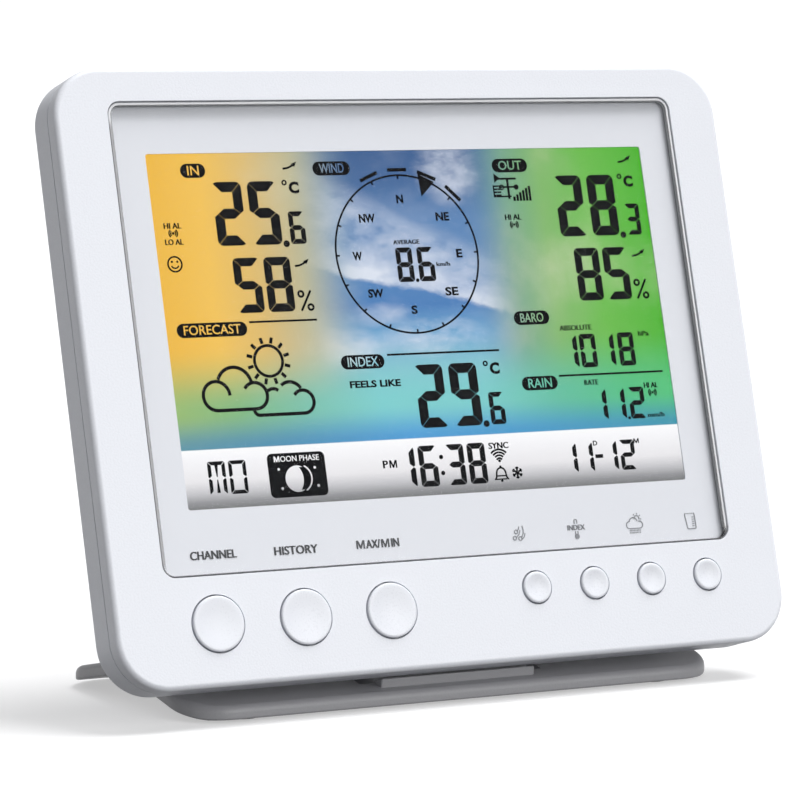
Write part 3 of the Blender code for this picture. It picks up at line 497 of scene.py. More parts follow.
def lcd_look(name):
    """Backlit picture: amber to sky to green across, teal below, and a pale strip at the foot."""
    t = Look(name)
    parts = t.node("ShaderNodeSeparateXYZ", {0: t.where}).outputs
    u = t.add(t.div(parts[0], MM), LCD_W / 2)
    v = t.sub(t.div(parts[2], MM), LCD_Z - LCD_H / 2)
    along = t.div(u, LCD_W)
    upper = t.picture(along, (0.0, 238, 184, 62), (0.10, 242, 194, 84), (0.19, 220, 186, 110),
                      (0.28, 186, 182, 148), (0.36, 150, 172, 178), (0.64, 100, 142, 168),
                      (0.70, 116, 162, 142), (0.78, 126, 182, 104), (0.88, 104, 186, 72), (1.0, 76, 178, 44))
    middle = t.picture(along, (0.0, 150, 186, 112), (0.12, 130, 184, 128), (0.25, 122, 192, 170),
                       (0.40, 124, 206, 206), (0.60, 124, 204, 204), (0.76, 98, 190, 160),
                       (0.90, 82, 190, 132), (1.0, 84, 194, 124))
    lower = t.picture(along, (0.0, 92, 148, 164), (0.20, 78, 144, 178), (0.45, 76, 156, 214),
                      (0.65, 72, 154, 204), (1.0, 62, 150, 174))
    strip = t.picture(t.div(v, STRIP_H), (0.0, 116, 117, 119), (0.12, 148, 149, 152), (0.26, 194, 194, 198),
                      (0.46, 234, 233, 236), (0.85, 248, 248, 251), (1.0, 253, 254, 255))
    haze = t.mul(t.span(t.noise(34.0, 5.0, 0.55), 0.45, 0.8, 0.0, 0.45), t.span(u, 8.0, 30.0))
    upper = t.blend(haze, upper, linear(224, 222, 196))
    in_sky = t.mul(t.span(u, 34.0, 52.0), t.fade(u, 76.0, 90.0))
    colour = t.blend(in_sky, upper, sky_colour(t, u, v))
    colour = t.blend(t.fade(v, 21.0, 36.0), colour, middle)
    colour = t.blend(t.fade(v, STRIP_H, 21.0), colour, lower)
    t.feed("Emission Color", t.blend(t.fade(v, STRIP_H - 0.15, STRIP_H + 0.1), colour, strip))
    t.feed("Emission Strength", 1.0)
    t.feed("Base Color", (0.02, 0.02, 0.02, 1.0))
    t.feed("Roughness", 0.35)
    t.feed("Specular IOR Level", 0.04)
    return t.mat


# Colour, roughness, grain in mm, relief, fleck and, where it isn't the usual 0.5, specular level.
MOULDED = {
    "white_shell": ((0.79, 0.81, 0.86), 0.42, 0.45, 0.10, 0.025),
    "white_button": ((0.78, 0.80, 0.85), 0.30, 0.40, 0.03, 0.012),
    "display_border": ((0.76, 0.78, 0.83), 0.40, 0.30, 0.03, 0.010),
    "display_ink": ((0.004, 0.004, 0.005), 0.60, 0.30, 0.02, 0.20, 0.04),
    "grey_print": ((0.105, 0.108, 0.115), 0.60, 0.25, 0.03, 0.06, 0.2),
    "pale_print": ((0.28, 0.29, 0.31), 0.60, 0.25, 0.03, 0.05, 0.2),
    "diffuser_film": ((0.85, 0.85, 0.85), 0.60, 0.8, 0.10, 0.03),
    "light_guide_acrylic": ((0.84, 0.86, 0.88), 0.14, 1.2, 0.02, 0.02),
    "tray_white": ((0.75, 0.75, 0.75), 0.50, 0.5, 0.10, 0.03),
    "led_board_white": ((0.80, 0.80, 0.78), 0.50, 0.4, 0.08, 0.04),
    "keypad_silicone": ((0.45, 0.46, 0.48), 0.70, 0.5, 0.12, 0.04),
    "black_plastic": ((0.022, 0.022, 0.023), 0.45, 0.3, 0.12, 0.12),
    "ribbon_grey": ((0.50, 0.50, 0.50), 0.50, 0.7, 0.10, 0.05),
    "stand_grey": ((0.31, 0.31, 0.325), 0.42, 0.40, 0.10, 0.03),
    "foot_rubber": ((0.03, 0.03, 0.03), 0.80, 0.5, 0.25, 0.10),
}
METAL = {"nickel": ((0.62, 0.60, 0.57), 0.28), "cell_steel": ((0.70, 0.70, 0.70), 0.24),
         "screw_steel": ((0.45, 0.45, 0.46), 0.32)}
LOOKS = {name: moulded(name, *values) for name, values in MOULDED.items()}
LOOKS |= {name: brushed(name, *values) for name, values in METAL.items()}
LOOKS |= {"clear_lens": lens_look("clear_lens"), "lcd_glass": lcd_look("lcd_glass"),
          "board_green": board_look("board_green")}


# ---- case shells ----
def case_loop(inset):
    return rounded_rect(CASE_W - 2 * inset, CASE_H - 2 * inset, CASE_R - inset, (0.0, CASE_H / 2))


def hump_loop(inset):
    low, high = HUMP_Z
    return rounded_rect(HUMP_W - 2 * inset, high - low - 2 * inset, HUMP_R - inset, (0.0, (low + high) / 2))


def window_loop(grow):
    return rounded_rect(WIN_W + 2 * grow, WIN_H + 2 * grow, WIN_R + grow, (0.0, WIN_Z), 10)


def front_case():
    sections = [(case_loop(inset), y) for inset, y in fillet(FACE_FILLET)]
    sections.append((case_loop(0.0), PART_Y - GAP / 2))
    shell = stack("case_front", sections)
    cut(shell, case_loop(WALL), FACE_T, PART_Y + 1.0)
    join(shell, rounded_rect(*FLANGE_SIZE, FLANGE_R, (0.0, WIN_Z)), FACE_T - 1.0, LEDGE_Y + LEDGE_T)
    recess = [(window_loop(1.0 + WIN_EDGE), -1.0)]
    recess += [(window_loop(WIN_EDGE * (1 - sin(t))), WIN_EDGE * (1 - cos(t)))
               for t in (0.0, 0.4, 0.8, 1.2, pi / 2)]
    recess.append((window_loop(0.0), LEDGE_Y))
    boolean(shell, stack("t_recess", recess))
    cut(shell, rounded_rect(*LEDGE_SIZE, LEDGE_R, (0.0, WIN_Z)), LEDGE_Y - 1.0, LEDGE_Y + LEDGE_T + 1.0)
    for name, x, z, radius in BUTTONS:
        r = radius + GAP
        hole = [(r + HOLE_EDGE + 1.0, -1.0), (r + HOLE_EDGE, 0.0), (r + HOLE_EDGE * 0.3, HOLE_EDGE * 0.3),
                (r, HOLE_EDGE), (r, FACE_T + 1.0)]
        boolean(shell, turned("t_hole", hole, (x, z)))
    for centre in SCREWS:
        join(shell, circle(BOSS_R, centre), FACE_T - 1.0, BOSS_Y)
        cut(shell, circle(PILOT_R, centre, 24), PILOT_Y, SCREW_SEAT_Y)
    present(shell, "console", "white_shell", ["front_shell"])


def rear_body():
    sections = [(case_loop(0.0), PART_Y + GAP / 2)]
    sections += [(case_loop(inset), RIM_Y - y) for inset, y in reversed(fillet(RIM_FILLET))]
    sections.append((hump_loop(0.0), RIM_Y))
    sections += [(hump_loop(inset + HUMP_DRAFT), HUMP_Y - y) for inset, y in reversed(fillet(HUMP_FILLET))]
    shell = stack("case_rear", sections)
    rim, hump, back = case_loop(WALL), hump_loop(WALL), hump_loop(WALL + HUMP_DRAFT)
    cavity = [(rim, PART_Y - 1.0), (rim, RIM_Y - WALL), (hump, RIM_Y - WALL), (back, HUMP_Y - WALL)]
    boolean(shell, stack("t_cavity", cavity))
    return shell


def through_back(shell, loop_at, edge=0.3):
    """Opening through the back wall with a softened rim; loop_at(grow) gives its outline."""
    sections = [(loop_at(0.0), HUMP_Y - WALL - 1.0), (loop_at(0.0), HUMP_Y - edge),
                (loop_at(edge), HUMP_Y), (loop_at(edge), HUMP_Y + 1.0)]
    boolean(shell, stack("t_opening", sections))


def back_slot(shell, centre, width, height, corner, steps=6):
    through_back(shell, lambda e: rounded_rect(width + 2 * e, height + 2 * e, corner + e, centre, steps))


def back_hole(shell, centre, radius, segments=40):
    through_back(shell, lambda e: circle(radius + e, centre, segments))


def rear_openings(shell):
    for x in KEY_XS:
        back_slot(shell, (x, KEY_Z), KEY_W + 2 * GAP, KEY_H + 2 * GAP, KEY_H / 2, 8)
    back_slot(shell, (SWITCH_X, KEY_Z), *SWITCH_SLOT)
    back_hole(shell, (RESET_X, KEY_Z), RESET_R, 24)
    back_hole(shell, JACK_AT, JACK_R)
    for k in range(4):
        back_slot(shell, (VENT_AT[0], VENT_AT[1] + VENT_STEP * k), *VENT_SLOT)
    for x in KEYHOLE_XS:
        back_hole(shell, (x, KEYHOLE_Z), KEYHOLE_R)
        back_slot(shell, (x, KEYHOLE_Z + 5.5), *KEYHOLE_SLOT, 8)


def centred(half, low, high):
    """Rectangle about the stand's centre line."""
    left, right = STAND_X - half, STAND_X + half
    return [(left, low), (right, low), (right, high), (left, high)]


def rear_case():
    shell = rear_body()
    slot, wall = TONGUE_W / 2 + GAP, SOCKET_WALL
    join(shell, centred(slot + wall, 9.0, SOCKET_TOP + wall), SOCKET_Y[0] - wall, HUMP_Y - 1.0)
    cut(shell, centred(slot, 0.0, SOCKET_TOP), *SOCKET_Y)
    for centre in SCREWS:
        join(shell, circle(SEAT_R, centre), SCREW_SEAT_Y - 1.5, RIM_Y - 1.0)
        cut(shell, circle(HEAD_R, centre), SCREW_SEAT_Y, RIM_Y + 1.0)
        cut(shell, circle(PILOT_R, centre, 24), 3.0, SCREW_SEAT_Y + 1.0)
    for centre in STANDOFFS:
        join(shell, circle(STANDOFF_R, centre, 24), STANDOFF_Y, HUMP_Y - 1.0)
    join(shell, circle(BAY_R + 1.5, CELL_AT), BAY_Y - 1.5, HUMP_Y - 1.0)
    cut(shell, circle(BAY_R, CELL_AT), BAY_Y, HUMP_Y + 1.0)
    mouth = rounded_rect(DOOR_SIZE[0] + 2 * GAP, DOOR_SIZE[1] + 2 * GAP, DOOR_R + GAP, CELL_AT, 6)
    cut(shell, mouth, HUMP_Y - DOOR_T - GAP, HUMP_Y + 1.0)
    rear_openings(shell)
    snooze = rounded_rect(*SNOOZE_SLOT, (0.0, SNOOZE_Y), 8)
    boolean(shell, upright("t_snooze", snooze, CASE_H - 3.0, CASE_H + 1.0, CONSOLE))
    present(shell, "console", "white_shell", ["rear_shell"])


# ---- buttons and window ----
def front_buttons():
    """Round caps with a smooth dish, a rolled rim and the hidden flange behind the face."""
    for name, x, z, radius in BUTTONS:
        top, rim, roll = -BUTTON_PROUD, radius - CAP_ROLL, 0.7 * CAP_ROLL
        shares, turns = [k / 12 for k in range(13)], [pi / 12 * k for k in range(1, 7)]
        profile = [(rim * share, top + BUTTON_DISH * (1 - share ** 2) ** 1.3) for share in shares]
        profile += [(rim + CAP_ROLL * sin(t), top + roll * (1 - cos(t))) for t in turns]
        flange, back = FACE_T + GAP, FACE_T + GAP + 0.7
        profile += [(radius, flange), (radius + 1.0, flange), (radius + 1.0, back), (0.0, back)]
        cap = turned("cap_" + name.removeprefix("button_"), profile, (x, z), 72)
        present(cap, name, "white_button", [name], angle=50.0)


def window_and_glass():
    lens = chamfered("window_lens", lambda e: window_loop(-LENS_GAP - e), LENS_Y, LENS_Y + LENS_T, 0.15)
    present(lens, "console", "clear_lens", ["display_lens"])
    width, height = GLASS_SIZE
    glass = chamfered("lcd_glass", lambda e: rounded_rect(width - 2 * e, height - 2 * e, 0.5,
                                                         (0.0, LCD_Z), 4), GLASS_Y, GLASS_Y + GLASS_T, 0.12)
    present(glass, "console", "lcd_glass", ["lcd_panel"])


# ---- marks on the display ----
SEGMENTS = {"0": "abcdef", "1": "bc", "2": "abged", "3": "abgcd", "4": "fgbc", "5": "afgcd",
            "6": "afgedc", "7": "abc", "8": "abcdefg", "9": "abcdfg"}


def shrink(loop, inset):
    """Convex outline moved inwards all round."""
    area = sum(a[0] * b[1] - b[0] * a[1] for a, b in zip(loop, loop[1:] + loop[:1]))
    points = loop if area > 0 else loop[::-1]
    count = len(points)
    moved = []
    for k in range(count):
        before, here, after = (Vector(points[(k + j) % count]) for j in (-1, 0, 1))
        d0, d1 = (here - before).normalized(), (after - here).normalized()
        n0, n1 = Vector((-d0.y, d0.x)), Vector((-d1.y, d1.x))
        moved.append(tuple(here + (n0 + n1) * inset / (1 + n0.dot(n1))))
    return moved


def segment_shapes(w, h, t):
    """Outlines of the seven segments of one digit."""
    m, r = h / 2, 0.6 * t
    top = arc((r, h - r), r, 135, 90, 3) + arc((w - r, h - r), r, 90, 45, 3) + [(w - t, h - t), (t, h - t)]
    right = arc((w - r, h - r), r, 45, 0, 3) + [(w, m + 0.25 * t), (w - 0.35 * t, m), (w - t, m + 0.5 * t),
                                               (w - t, h - t)]
    bar = [(0.35 * t, m), (t, m + 0.5 * t), (w - t, m + 0.5 * t), (w - 0.35 * t, m), (w - t, m - 0.5 * t),
           (t, m - 0.5 * t)]
    def flip_x(shape):
        return [(w - x, z) for x, z in shape]
    def flip_z(shape):
        return [(x, h - z) for x, z in shape]
    return {"a": top, "b": right, "c": flip_z(right), "d": flip_z(top), "e": flip_z(flip_x(right)),
            "f": flip_x(right), "g": bar}


class Marks:
    """Collects thin closed shapes that become one piece."""

    def __init__(self, depths, origin=(-LCD_W / 2, LCD_Z - LCD_H / 2)):
        self.depths, self.origin = depths, origin
        self.verts, self.faces = [], []

    def at(self, u, v):
        """The same piece, drawn on from an origin moved to (u, v)."""
        moved = Marks(self.depths, (self.origin[0] + u, self.origin[1] + v))
        moved.verts, moved.faces = self.verts, self.faces
        return moved

    def add(self, points, faces):
        """Extrude flat faces given on (u, v) points; faces must share their inner edges."""
        a, count = len(self.verts), len(points)
        ou, ov = self.origin
        for y in self.depths:
            self.verts.extend((u + ou, y, v + ov) for u, v in points)
        edges = set()
        for face in faces:
            self.faces.append([a + k for k in face])
            self.faces.append([a + count + k for k in reversed(face)])
            for p, q in zip(face, face[1:] + face[:1]):
                edges.add((p, q))
        for p, q in edges:
            if (q, p) not in edges:
                self.faces.append([a + q, a + p, a + count + p, a + count + q])

    def poly(self, loop):
        self.add(loop, [list(range(len(loop)))])

    def bar(self, u0, u1, v0, v1):
        self.poly([(u0, v0), (u1, v0), (u1, v1), (u0, v1)])

    def stroke(self, points, width, closed=False):
        """Line of even width along the points."""
        pts = [Vector(p) for p in points]
        count = len(pts)
        rails, faces = [], []
        for k, here in enumerate(pts):
            before = pts[k - 1] if k or closed else here
            after = pts[(k + 1) % count] if k < count - 1 or closed else here
            d0 = (here - before).normalized() if before != here else (after - here).normalized()
            d1 = (after - here).normalized() if after != here else d0
            n0, n1 = Vector((-d0.y, d0.x)), Vector((-d1.y, d1.x))
            side = (n0 + n1) * (width / 2 / max(0.5, 1 + n0.dot(n1)))
            rails += [tuple(here + side), tuple(here - side)]
        for k in range(count if closed else count - 1):
            p, q = 2 * k, 2 * ((k + 1) % count)
            faces.append([p + 1, q + 1, q, p])
        self.add(rails, faces)

    def disc(self, centre, radius, segments=24):
        self.poly(circle(radius, centre, segments))

    def ring(self, centre, radius, width, segments=64):
        self.stroke(circle(radius, centre, segments), width, True)

    def pill(self, u0, u1, v0, v1, radius=None):
        size = (u1 - u0, v1 - v0)
        r = min(size) / 2 - 0.01 if radius is None else radius
        self.poly(rounded_rect(*size, r, ((u0 + u1) / 2, (v0 + v1) / 2), 8))

    def segments(self, keys, left, v, w, h, t, inset=0.045):
        shapes = segment_shapes(w, h, t)
        for key in keys:
            self.poly([(left + x, v + z) for x, z in shrink(shapes[key], inset)])

    def words(self, text, u0, u1, v0, cap, weight=0.012):
        """Lettering fitted between u0 and u1, standing on v0, `cap` high."""
        curve = bpy.data.curves.new("t_words", "FONT")
        curve.body = text
        curve.offset = weight
        curve.resolution_u = 3
        curve.extrude = 0.5
        holder = bpy.data.objects.new("t_words", curve)
        add_object(holder)
        bpy.context.view_layer.update()
        bm = bmesh.new()
        bm.from_mesh(holder.evaluated_get(bpy.context.evaluated_depsgraph_get()).to_mesh())
        bmesh.ops.remove_doubles(bm, verts=bm.verts, dist=1e-5)
        bm.verts.index_update()
        xs, ys = ([p.co[axis] for p in bm.verts] for axis in (0, 1))
        scale_x, scale_y = (u1 - u0) / (max(xs) - min(xs)), cap / (max(ys) - min(ys))
        left, foot = u0 + self.origin[0], v0 + self.origin[1]
        a = len(self.verts)
        for p in bm.verts:
            y = self.depths[0] if p.co.z > 0 else self.depths[1]
            self.verts.append((left + (p.co.x - min(xs)) * scale_x, y, foot + (p.co.y - min(ys)) * scale_y))
        self.faces.extend([a + p.index for p in face.verts] for face in bm.faces)
        bm.free()
        holder.to_mesh_clear()
        bpy.data.objects.remove(holder, do_unlink=True)

    def letter_m(self, u0, u1, v0, cap):
        """Capital M as one outline, because the font's own does not fill cleanly."""
        wide, stem = u1 - u0, 0.19 * cap
        left = [(0.0, cap), (0.0, 0.0), (stem, 0.0), (stem, 0.66 * cap), (0.5 * wide - 0.4 * stem, 0.0)]
        right = [(wide - x, z) for x, z in reversed(left)]
        notch = [(wide - 1.4 * stem, cap), (0.5 * wide, 0.36 * cap), (1.4 * stem, cap)]
        self.poly([(u0 + x, v0 + z) for x, z in left + right + notch])

    def heavy_words(self, text, u0, u1, v0, cap):
        """Bold lettering: the word drawn twice, a part of a stem's width apart."""
        if text == "M":
            self.letter_m(u0, u1, v0, cap)
            return
        step = 0.09 * cap
        self.words(text, u0, u1 - step, v0, cap, 0.004)
        self.words(text, u0 + step, u1, v0, cap, 0.004)

    def piece(self, name, look, slot="lcd_glass"):
        obj = solid(name, self.verts, self.faces)
        obj.data.materials.append(LOOKS[look])
        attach(obj, "console")
        return obj


def trend_arrow(m):
    """Small arrow that curves up to the right."""
    m.stroke([(0.0, 0.1), (1.1, 0.22), (2.0, 0.55), (2.75, 1.05)], 0.45)
    m.poly([(2.15, 1.15), (2.9, 0.45), (3.55, 1.65)])


def alarm_waves(m):
    m.disc((0.0, 0.0), 0.3, 12)
    for reach in (0.62, 1.02):
        for start in (-50, 130):
            m.stroke(arc((0.0, 0.0), reach, start, start + 100, 6), 0.27)


def degree_c(m):
    m.ring((0.0, 0.0), 0.47, 0.34, 20)
    m.words("C", 1.0, 3.5, -2.5, 2.7, 0.05)


def percent(m):
    for centre in ((0.85, 3.85), (2.95, 0.85)):
        m.ring(centre, 0.62, 0.48, 24)
    m.stroke([(0.6, 0.1), (3.3, 4.55)], 0.5)


# Digit sizes: width, height and stroke.
BIG, MID, SMALL = (7.2, 14.3, 2.35), (6.55, 12.3, 1.95), (3.9, 7.4, 1.2)
READINGS = (
    ("25", (15.3, 23.9), 57.4, BIG), ("28", (102.2, 110.85), 57.4, BIG), ("29", (59.5, 68.2), 15.1, BIG),
    ("6", (33.1,), 57.4, SMALL), ("3", (120.1,), 57.4, SMALL), ("6", (77.5,), 15.1, SMALL),
    ("58", (18.1, 25.6), 42.4, MID), ("85", (104.9, 112.45), 42.4, MID),
    ("86", (58.7, 64.1), 48.1, (4.2, 7.9, 1.25)),
    ("1018", (98.2, 103.1, 108.0, 113.3), 27.0, (4.3, 7.8, 1.25)),
    ("112", (104.1, 109.0, 114.2), 14.7, (4.2, 7.4, 1.2)),
    ("16", (52.1, 57.75), 2.0, (4.7, 9.25, 1.4)), ("38", (64.75, 70.2), 2.0, (4.6, 9.25, 1.4)),
    ("11", (94.4, 98.7), 3.1, (4.1, 6.95, 1.1)), ("12", (105.2, 109.9), 3.1, (4.0, 7.0, 1.1)))
POINTS = ((31.95, 57.55, 0.76), (118.9, 57.5, 0.76), (76.2, 15.4, 0.76), (63.5, 48.45, 0.42),
          (113.75, 15.0, 0.36), (63.5, 8.5, 0.5), (63.5, 4.9, 0.5))


def readings(m):
    """Temperature, humidity, wind, index, pressure, rain, time and date."""
    for text, lefts, v, size in READINGS:
        for char, left in zip(text, lefts):
            m.segments(SEGMENTS[char], left, v, *size)
    for u, v, radius in POINTS:
        m.disc((u, v), radius)
    m.bar(103.3, 105.3, 6.2, 7.05)
    weekday(m)


def weekday(m):
    """Two fourteen-segment letters."""
    for left, keys in ((6.0, "abcef"), (11.0, "abcdef")):
        m.segments(keys, left, 3.0, 4.3, 7.4, 0.95, 0.07)
    m.poly([(7.75, 9.6), (8.55, 9.6), (8.25, 6.95), (8.05, 6.95)])
    m.poly([(8.05, 6.35), (8.25, 6.35), (8.55, 3.5), (7.75, 3.5)])


def rays(m, centre, inner, outer, first, step, count, width):
    """Straight strokes that point away from `centre`."""
    for k in range(count):
        turn = radians(first + step * k)
        c, s = cos(turn), sin(turn)
        m.stroke([(centre[0] + r * c, centre[1] + r * s) for r in (inner, outer)], width)


def compass(m):
    centre, radius = (61.8, 54.5), 17.95
    m.ring(centre, radius, 0.42, 120)
    rays(m, centre, radius - 0.85, radius - 0.1, 0.0, 22.5, 16, 0.4)
    for bearing in (-22.5, 0.0, 22.5, 45.0):
        rays(m, arc(centre, 19.2, 90.0 - bearing, 0.0)[0], -2.4, 2.4, -bearing, 0.0, 1, 0.8)
    m.poly([(66.95, 72.7), (67.3, 67.5), (70.9, 70.75)])
    for text, u, v, width in (("N", 61.6, 67.0, 1.7), ("NE", 71.9, 62.8, 3.4), ("E", 75.0, 54.3, 1.5),
                              ("SE", 71.8, 45.7, 3.3), ("S", 61.7, 41.8, 1.5), ("SW", 52.5, 45.8, 3.8),
                              ("W", 49.1, 54.3, 2.3), ("NW", 52.7, 62.8, 4.0)):
        m.words(text, u - width / 2, u + width / 2, v - 0.98, 1.96, 0.034)


SMALL_WORDS = (
    ("AVERAGE", 58.5, 65.2, 56.7, 1.0), ("km/h", 68.8, 72.3, 51.5, 0.95), ("P", 48.7, 50.0, 6.7, 1.7),
    ("ABSOLUTE", 98.4, 106.9, 35.7, 1.2), ("hPa", 119.1, 122.0, 33.8, 1.15), ("M", 50.35, 52.2, 6.7, 1.7),
    ("RATE", 103.0, 106.7, 23.0, 1.2), ("mm/h", 118.7, 123.2, 14.9, 1.1), ("SYNC", 75.9, 81.0, 9.65, 1.4),
    ("M", 113.9, 115.3, 9.1, 1.1), ("HI AL", 2.7, 6.9, 61.55, 1.25), ("LO AL", 2.6, 7.0, 57.95, 1.25),
    ("HI AL", 88.1, 92.4, 61.65, 1.25), ("HI AL", 118.7, 122.5, 21.7, 1.25))


def small_words(m):
    for row in SMALL_WORDS:
        m.heavy_words(*row)
    m.words("FEELS LIKE", 43.1, 55.8, 24.8, 1.6, 0.034)
    m.words("D", 103.1, 104.2, 9.1, 1.1, 0.02)
    for u, v in ((4.8, 60.5), (90.3, 60.5), (120.8, 20.6)):
        alarm_waves(m.at(u, v))


def cloud(m, lobes, base, left, right):
    """Cloud outline: arcs over the top, round ends and a flat base."""
    for centre, radius, start, end in lobes:
        m.stroke(arc(centre, radius, start, end, 18), 0.76)
    m.stroke([(left, base), (right, base)], 0.76)


def weather_icon(m):
    sun = (23.9, 31.7)
    m.ring(sun, 3.4, 0.66, 64)
    rays(m, sun, 3.95, 5.3, 15.0, 30.0, 12, 0.72)
    front = (((10.4, 24.5), 3.2, 0, 270), ((15.0, 26.5), 4.15, 5, 158), ((19.7, 24.2), 2.9, -90, 145))
    cloud(m, front, 21.3, 10.4, 19.7)
    back = (((28.2, 23.7), 3.2, 32, 128), ((31.2, 22.4), 2.55, -90, 142), ((24.1, 23.6), 1.95, 50, 130),
            ((20.3, 21.1), 1.25, 180, 270))
    cloud(m, back, 19.85, 20.3, 31.2)


def sensor_icon(m):
    """Outdoor unit in outline: vane, cups, mast and shield, with signal bars beside it."""
    m.poly([(86.6, 70.3), (86.6, 72.4), (88.0, 71.35)])
    for strip in ((87.6, 92.3, 70.95, 71.4), (89.7, 90.25, 66.5, 70.95), (87.6, 92.0, 69.05, 69.45),
                  (86.0, 86.3, 67.0, 69.5), (86.0, 90.6, 66.9, 67.25)):
        m.bar(*strip)
    m.disc((92.1, 69.2), 0.62, 16)
    m.ring((88.3, 69.2), 0.5, 0.3, 20)
    for v in (67.2, 67.9, 68.6, 69.3):
        m.bar(86.0, 88.0, v, v + 0.35)
    for k in range(6):
        m.bar(91.0 + 0.83 * k, 91.58 + 0.83 * k, 66.0, 67.0 + 0.48 * k)


def smiley(m):
    m.ring((4.3, 53.7), 1.65, 0.36, 40)
    for u in (3.65, 4.95):
        m.disc((u, 54.25), 0.26, 12)
    m.stroke(arc((4.3, 53.75), 0.95, 205, 335, 8), 0.32)


def strip_icons(m):
    """Radio waves, alarm bell and snowflake beside the clock."""
    for reach, half in ((0.75, 60), (1.4, 46), (2.05, 46), (2.7, 46)):
        m.stroke(arc((78.25, 6.75), reach, 90 - half, 90 + half, 10), 0.42)
    bell = [(76.6, 2.75), (76.95, 3.2), (77.1, 4.3)] + arc((78.25, 4.2), 1.12, 170, 10, 8)
    bell += [(79.4, 4.3), (79.55, 3.2), (79.9, 2.75)]
    m.stroke(bell, 0.38, True)
    m.stroke([(77.0, 3.5), (79.5, 3.5)], 0.3)
    for v, radius in ((6.9, 0.34), (2.4, 0.3), (5.6, 0.26)):
        m.disc((78.25, v), radius, 12)
    snow, barb = (82.4, 4.0), degrees(0.9)
    rays(m, snow, -1.35, 1.35, 30.0, 60.0, 3, 0.42)
    for turn in range(30, 390, 60):
        rays(m, arc(snow, 0.85, turn, 0.0)[0], 0.0, 0.5, turn - barb, 2 * barb, 2, 0.3)


def signs(m):
    """Units, trend arrows, rules and small symbols."""
    for u, v in ((33.2, 71.25), (119.9, 71.2), (77.9, 29.0)):
        degree_c(m.at(u, v))
    for u in (33.0, 119.8):
        percent(m.at(u, 42.4))
    for u, v in ((33.3, 74.3), (33.3, 52.4), (120.1, 74.5), (120.4, 52.4)):
        trend_arrow(m.at(u, v))
    for u0, u1, v in ((20.4, 37.0, 40.4), (53.3, 81.9, 31.9), (96.6, 124.3, 25.4)):
        m.bar(u0, u1, v - 0.22, v + 0.22)
    sensor_icon(m)
    smiley(m)
    strip_icons(m)


TABS = (("IN", 8.3, 14.3, 72.7), ("WIND", 40.7, 50.0, 72.7), ("OUT", 86.5, 95.7, 72.65),
        ("FORECAST", 2.8, 19.7, 37.45), ("BARO", 86.9, 96.1, 37.4), ("INDEX", 41.6, 52.4, 29.0),
        ("RAIN", 86.7, 96.0, 22.4))


def moon_phase(tabs, light):
    """Dark plate with its heading, a few stars and a full moon ringed on its right."""
    tabs.pill(20.5, 34.5, 1.6, 11.3, 1.2)
    light.letter_m(22.1, 23.45, 9.4, 1.25)
    light.words("OON PHASE", 23.65, 33.1, 9.4, 1.25, 0.004)
    light.disc((27.3, 5.55), 2.9, 48)
    for u, v in ((23.0, 7.8), (31.8, 7.8), (23.4, 3.6), (32.2, 3.8)):
        light.disc((u, v), 0.3, 8)
    light.stroke(arc((27.75, 5.6), 3.05, -62, 62, 24), 0.28)


def display_marks():
    for name, draw in (("lcd_digits", readings), ("lcd_signs", signs), ("lcd_compass", compass),
                       ("lcd_words", small_words), ("lcd_forecast_icon", weather_icon)):
        marks = Marks(INK)
        draw(marks)
        marks.piece(name, "display_ink")
    tabs, light = Marks(INK), Marks(INK_TOP)
    for text, u0, u1, v0 in TABS:
        tabs.pill(u0, u1, v0, v0 + 3.15)
        light.words(text, u0 + 1.6, u1 - 1.6, v0 + 0.55, 2.1, 0.004)
    moon_phase(tabs, light)
    tabs.piece("lcd_tabs", "display_ink")
    light.piece("lcd_light_words", "lcd_glass")
    shadow = Marks(INK_OVER)
    shadow.poly(arc((27.4, 5.55), 2.93, -58, 58, 20) + arc((24.8, 5.55), 3.95, 39, -39, 20))
    shadow.piece("lcd_moon_shade", "display_ink")


# ---- print on the pale border ----
LINE = 0.22  # stroke of the small printed symbols
KEY_NAMES = (("CHANNEL", -64.0, -52.9, 27.45), ("HISTORY", -43.9, -33.3, 27.3), ("M", -23.8, -21.75, 27.45),
             ("AX/", -21.45, -17.9, 27.45), ("M", -17.65, -15.65, 27.45), ("IN", -15.2, -13.2, 27.45))


def wind_symbol(m):
    """Two curling gusts."""
    for centre in ((-0.75, 0.55), (-1.25, -0.85), (0.15, -1.0)):
        m.ring(centre, 0.42, LINE, 20)
    for path in (((-0.35, 0.75), (0.0, 1.2), (0.1, 1.7)), ((-0.85, -0.7), (-0.1, -0.1), (0.35, 0.9)),
                 ((0.5, -0.8), (1.05, 0.1), (1.15, 0.9), (0.95, 1.8)),
                 ((0.55, -1.2), (1.2, -0.7), (1.5, 0.1))):
        m.stroke(path, LINE)


def index_symbol(m):
    """The word INDEX across a thermometer."""
    m.heavy_words("INDEX", -2.3, 2.3, -0.55, 1.15)
    m.stroke([(-0.35, 0.85)] + arc((0.0, 1.5), 0.35, 180, 0, 8) + [(0.35, 0.85)], LINE)
    for x in (-0.32, 0.32):
        m.stroke([(x, -0.85), (x, -1.5)], LINE)
    m.disc((0.0, -2.0), 0.62, 24)


def rain_symbol(m):
    """Sun behind a cloud with rain below it."""
    for x, z, radius, start, end in ((-1.35, -0.2, 0.8, 75, 270), (-0.25, 0.35, 1.1, 15, 160),
                                     (1.35, -0.2, 0.8, -90, 105), (0.75, 1.25, 0.62, -25, 185)):
        m.stroke(arc((x, z), radius, start, end, 12), LINE)
    m.stroke([(-1.35, -1.0), (1.35, -1.0)], LINE)
    rays(m, (0.75, 1.25), 0.9, 1.25, -10.0, 45.0, 5, LINE)
    for z in (-1.3, -1.8):
        for k in range(8):
            m.stroke([(0.38 * k - 1.35, z), (0.38 * k - 1.35, z - 0.32)], 0.16)


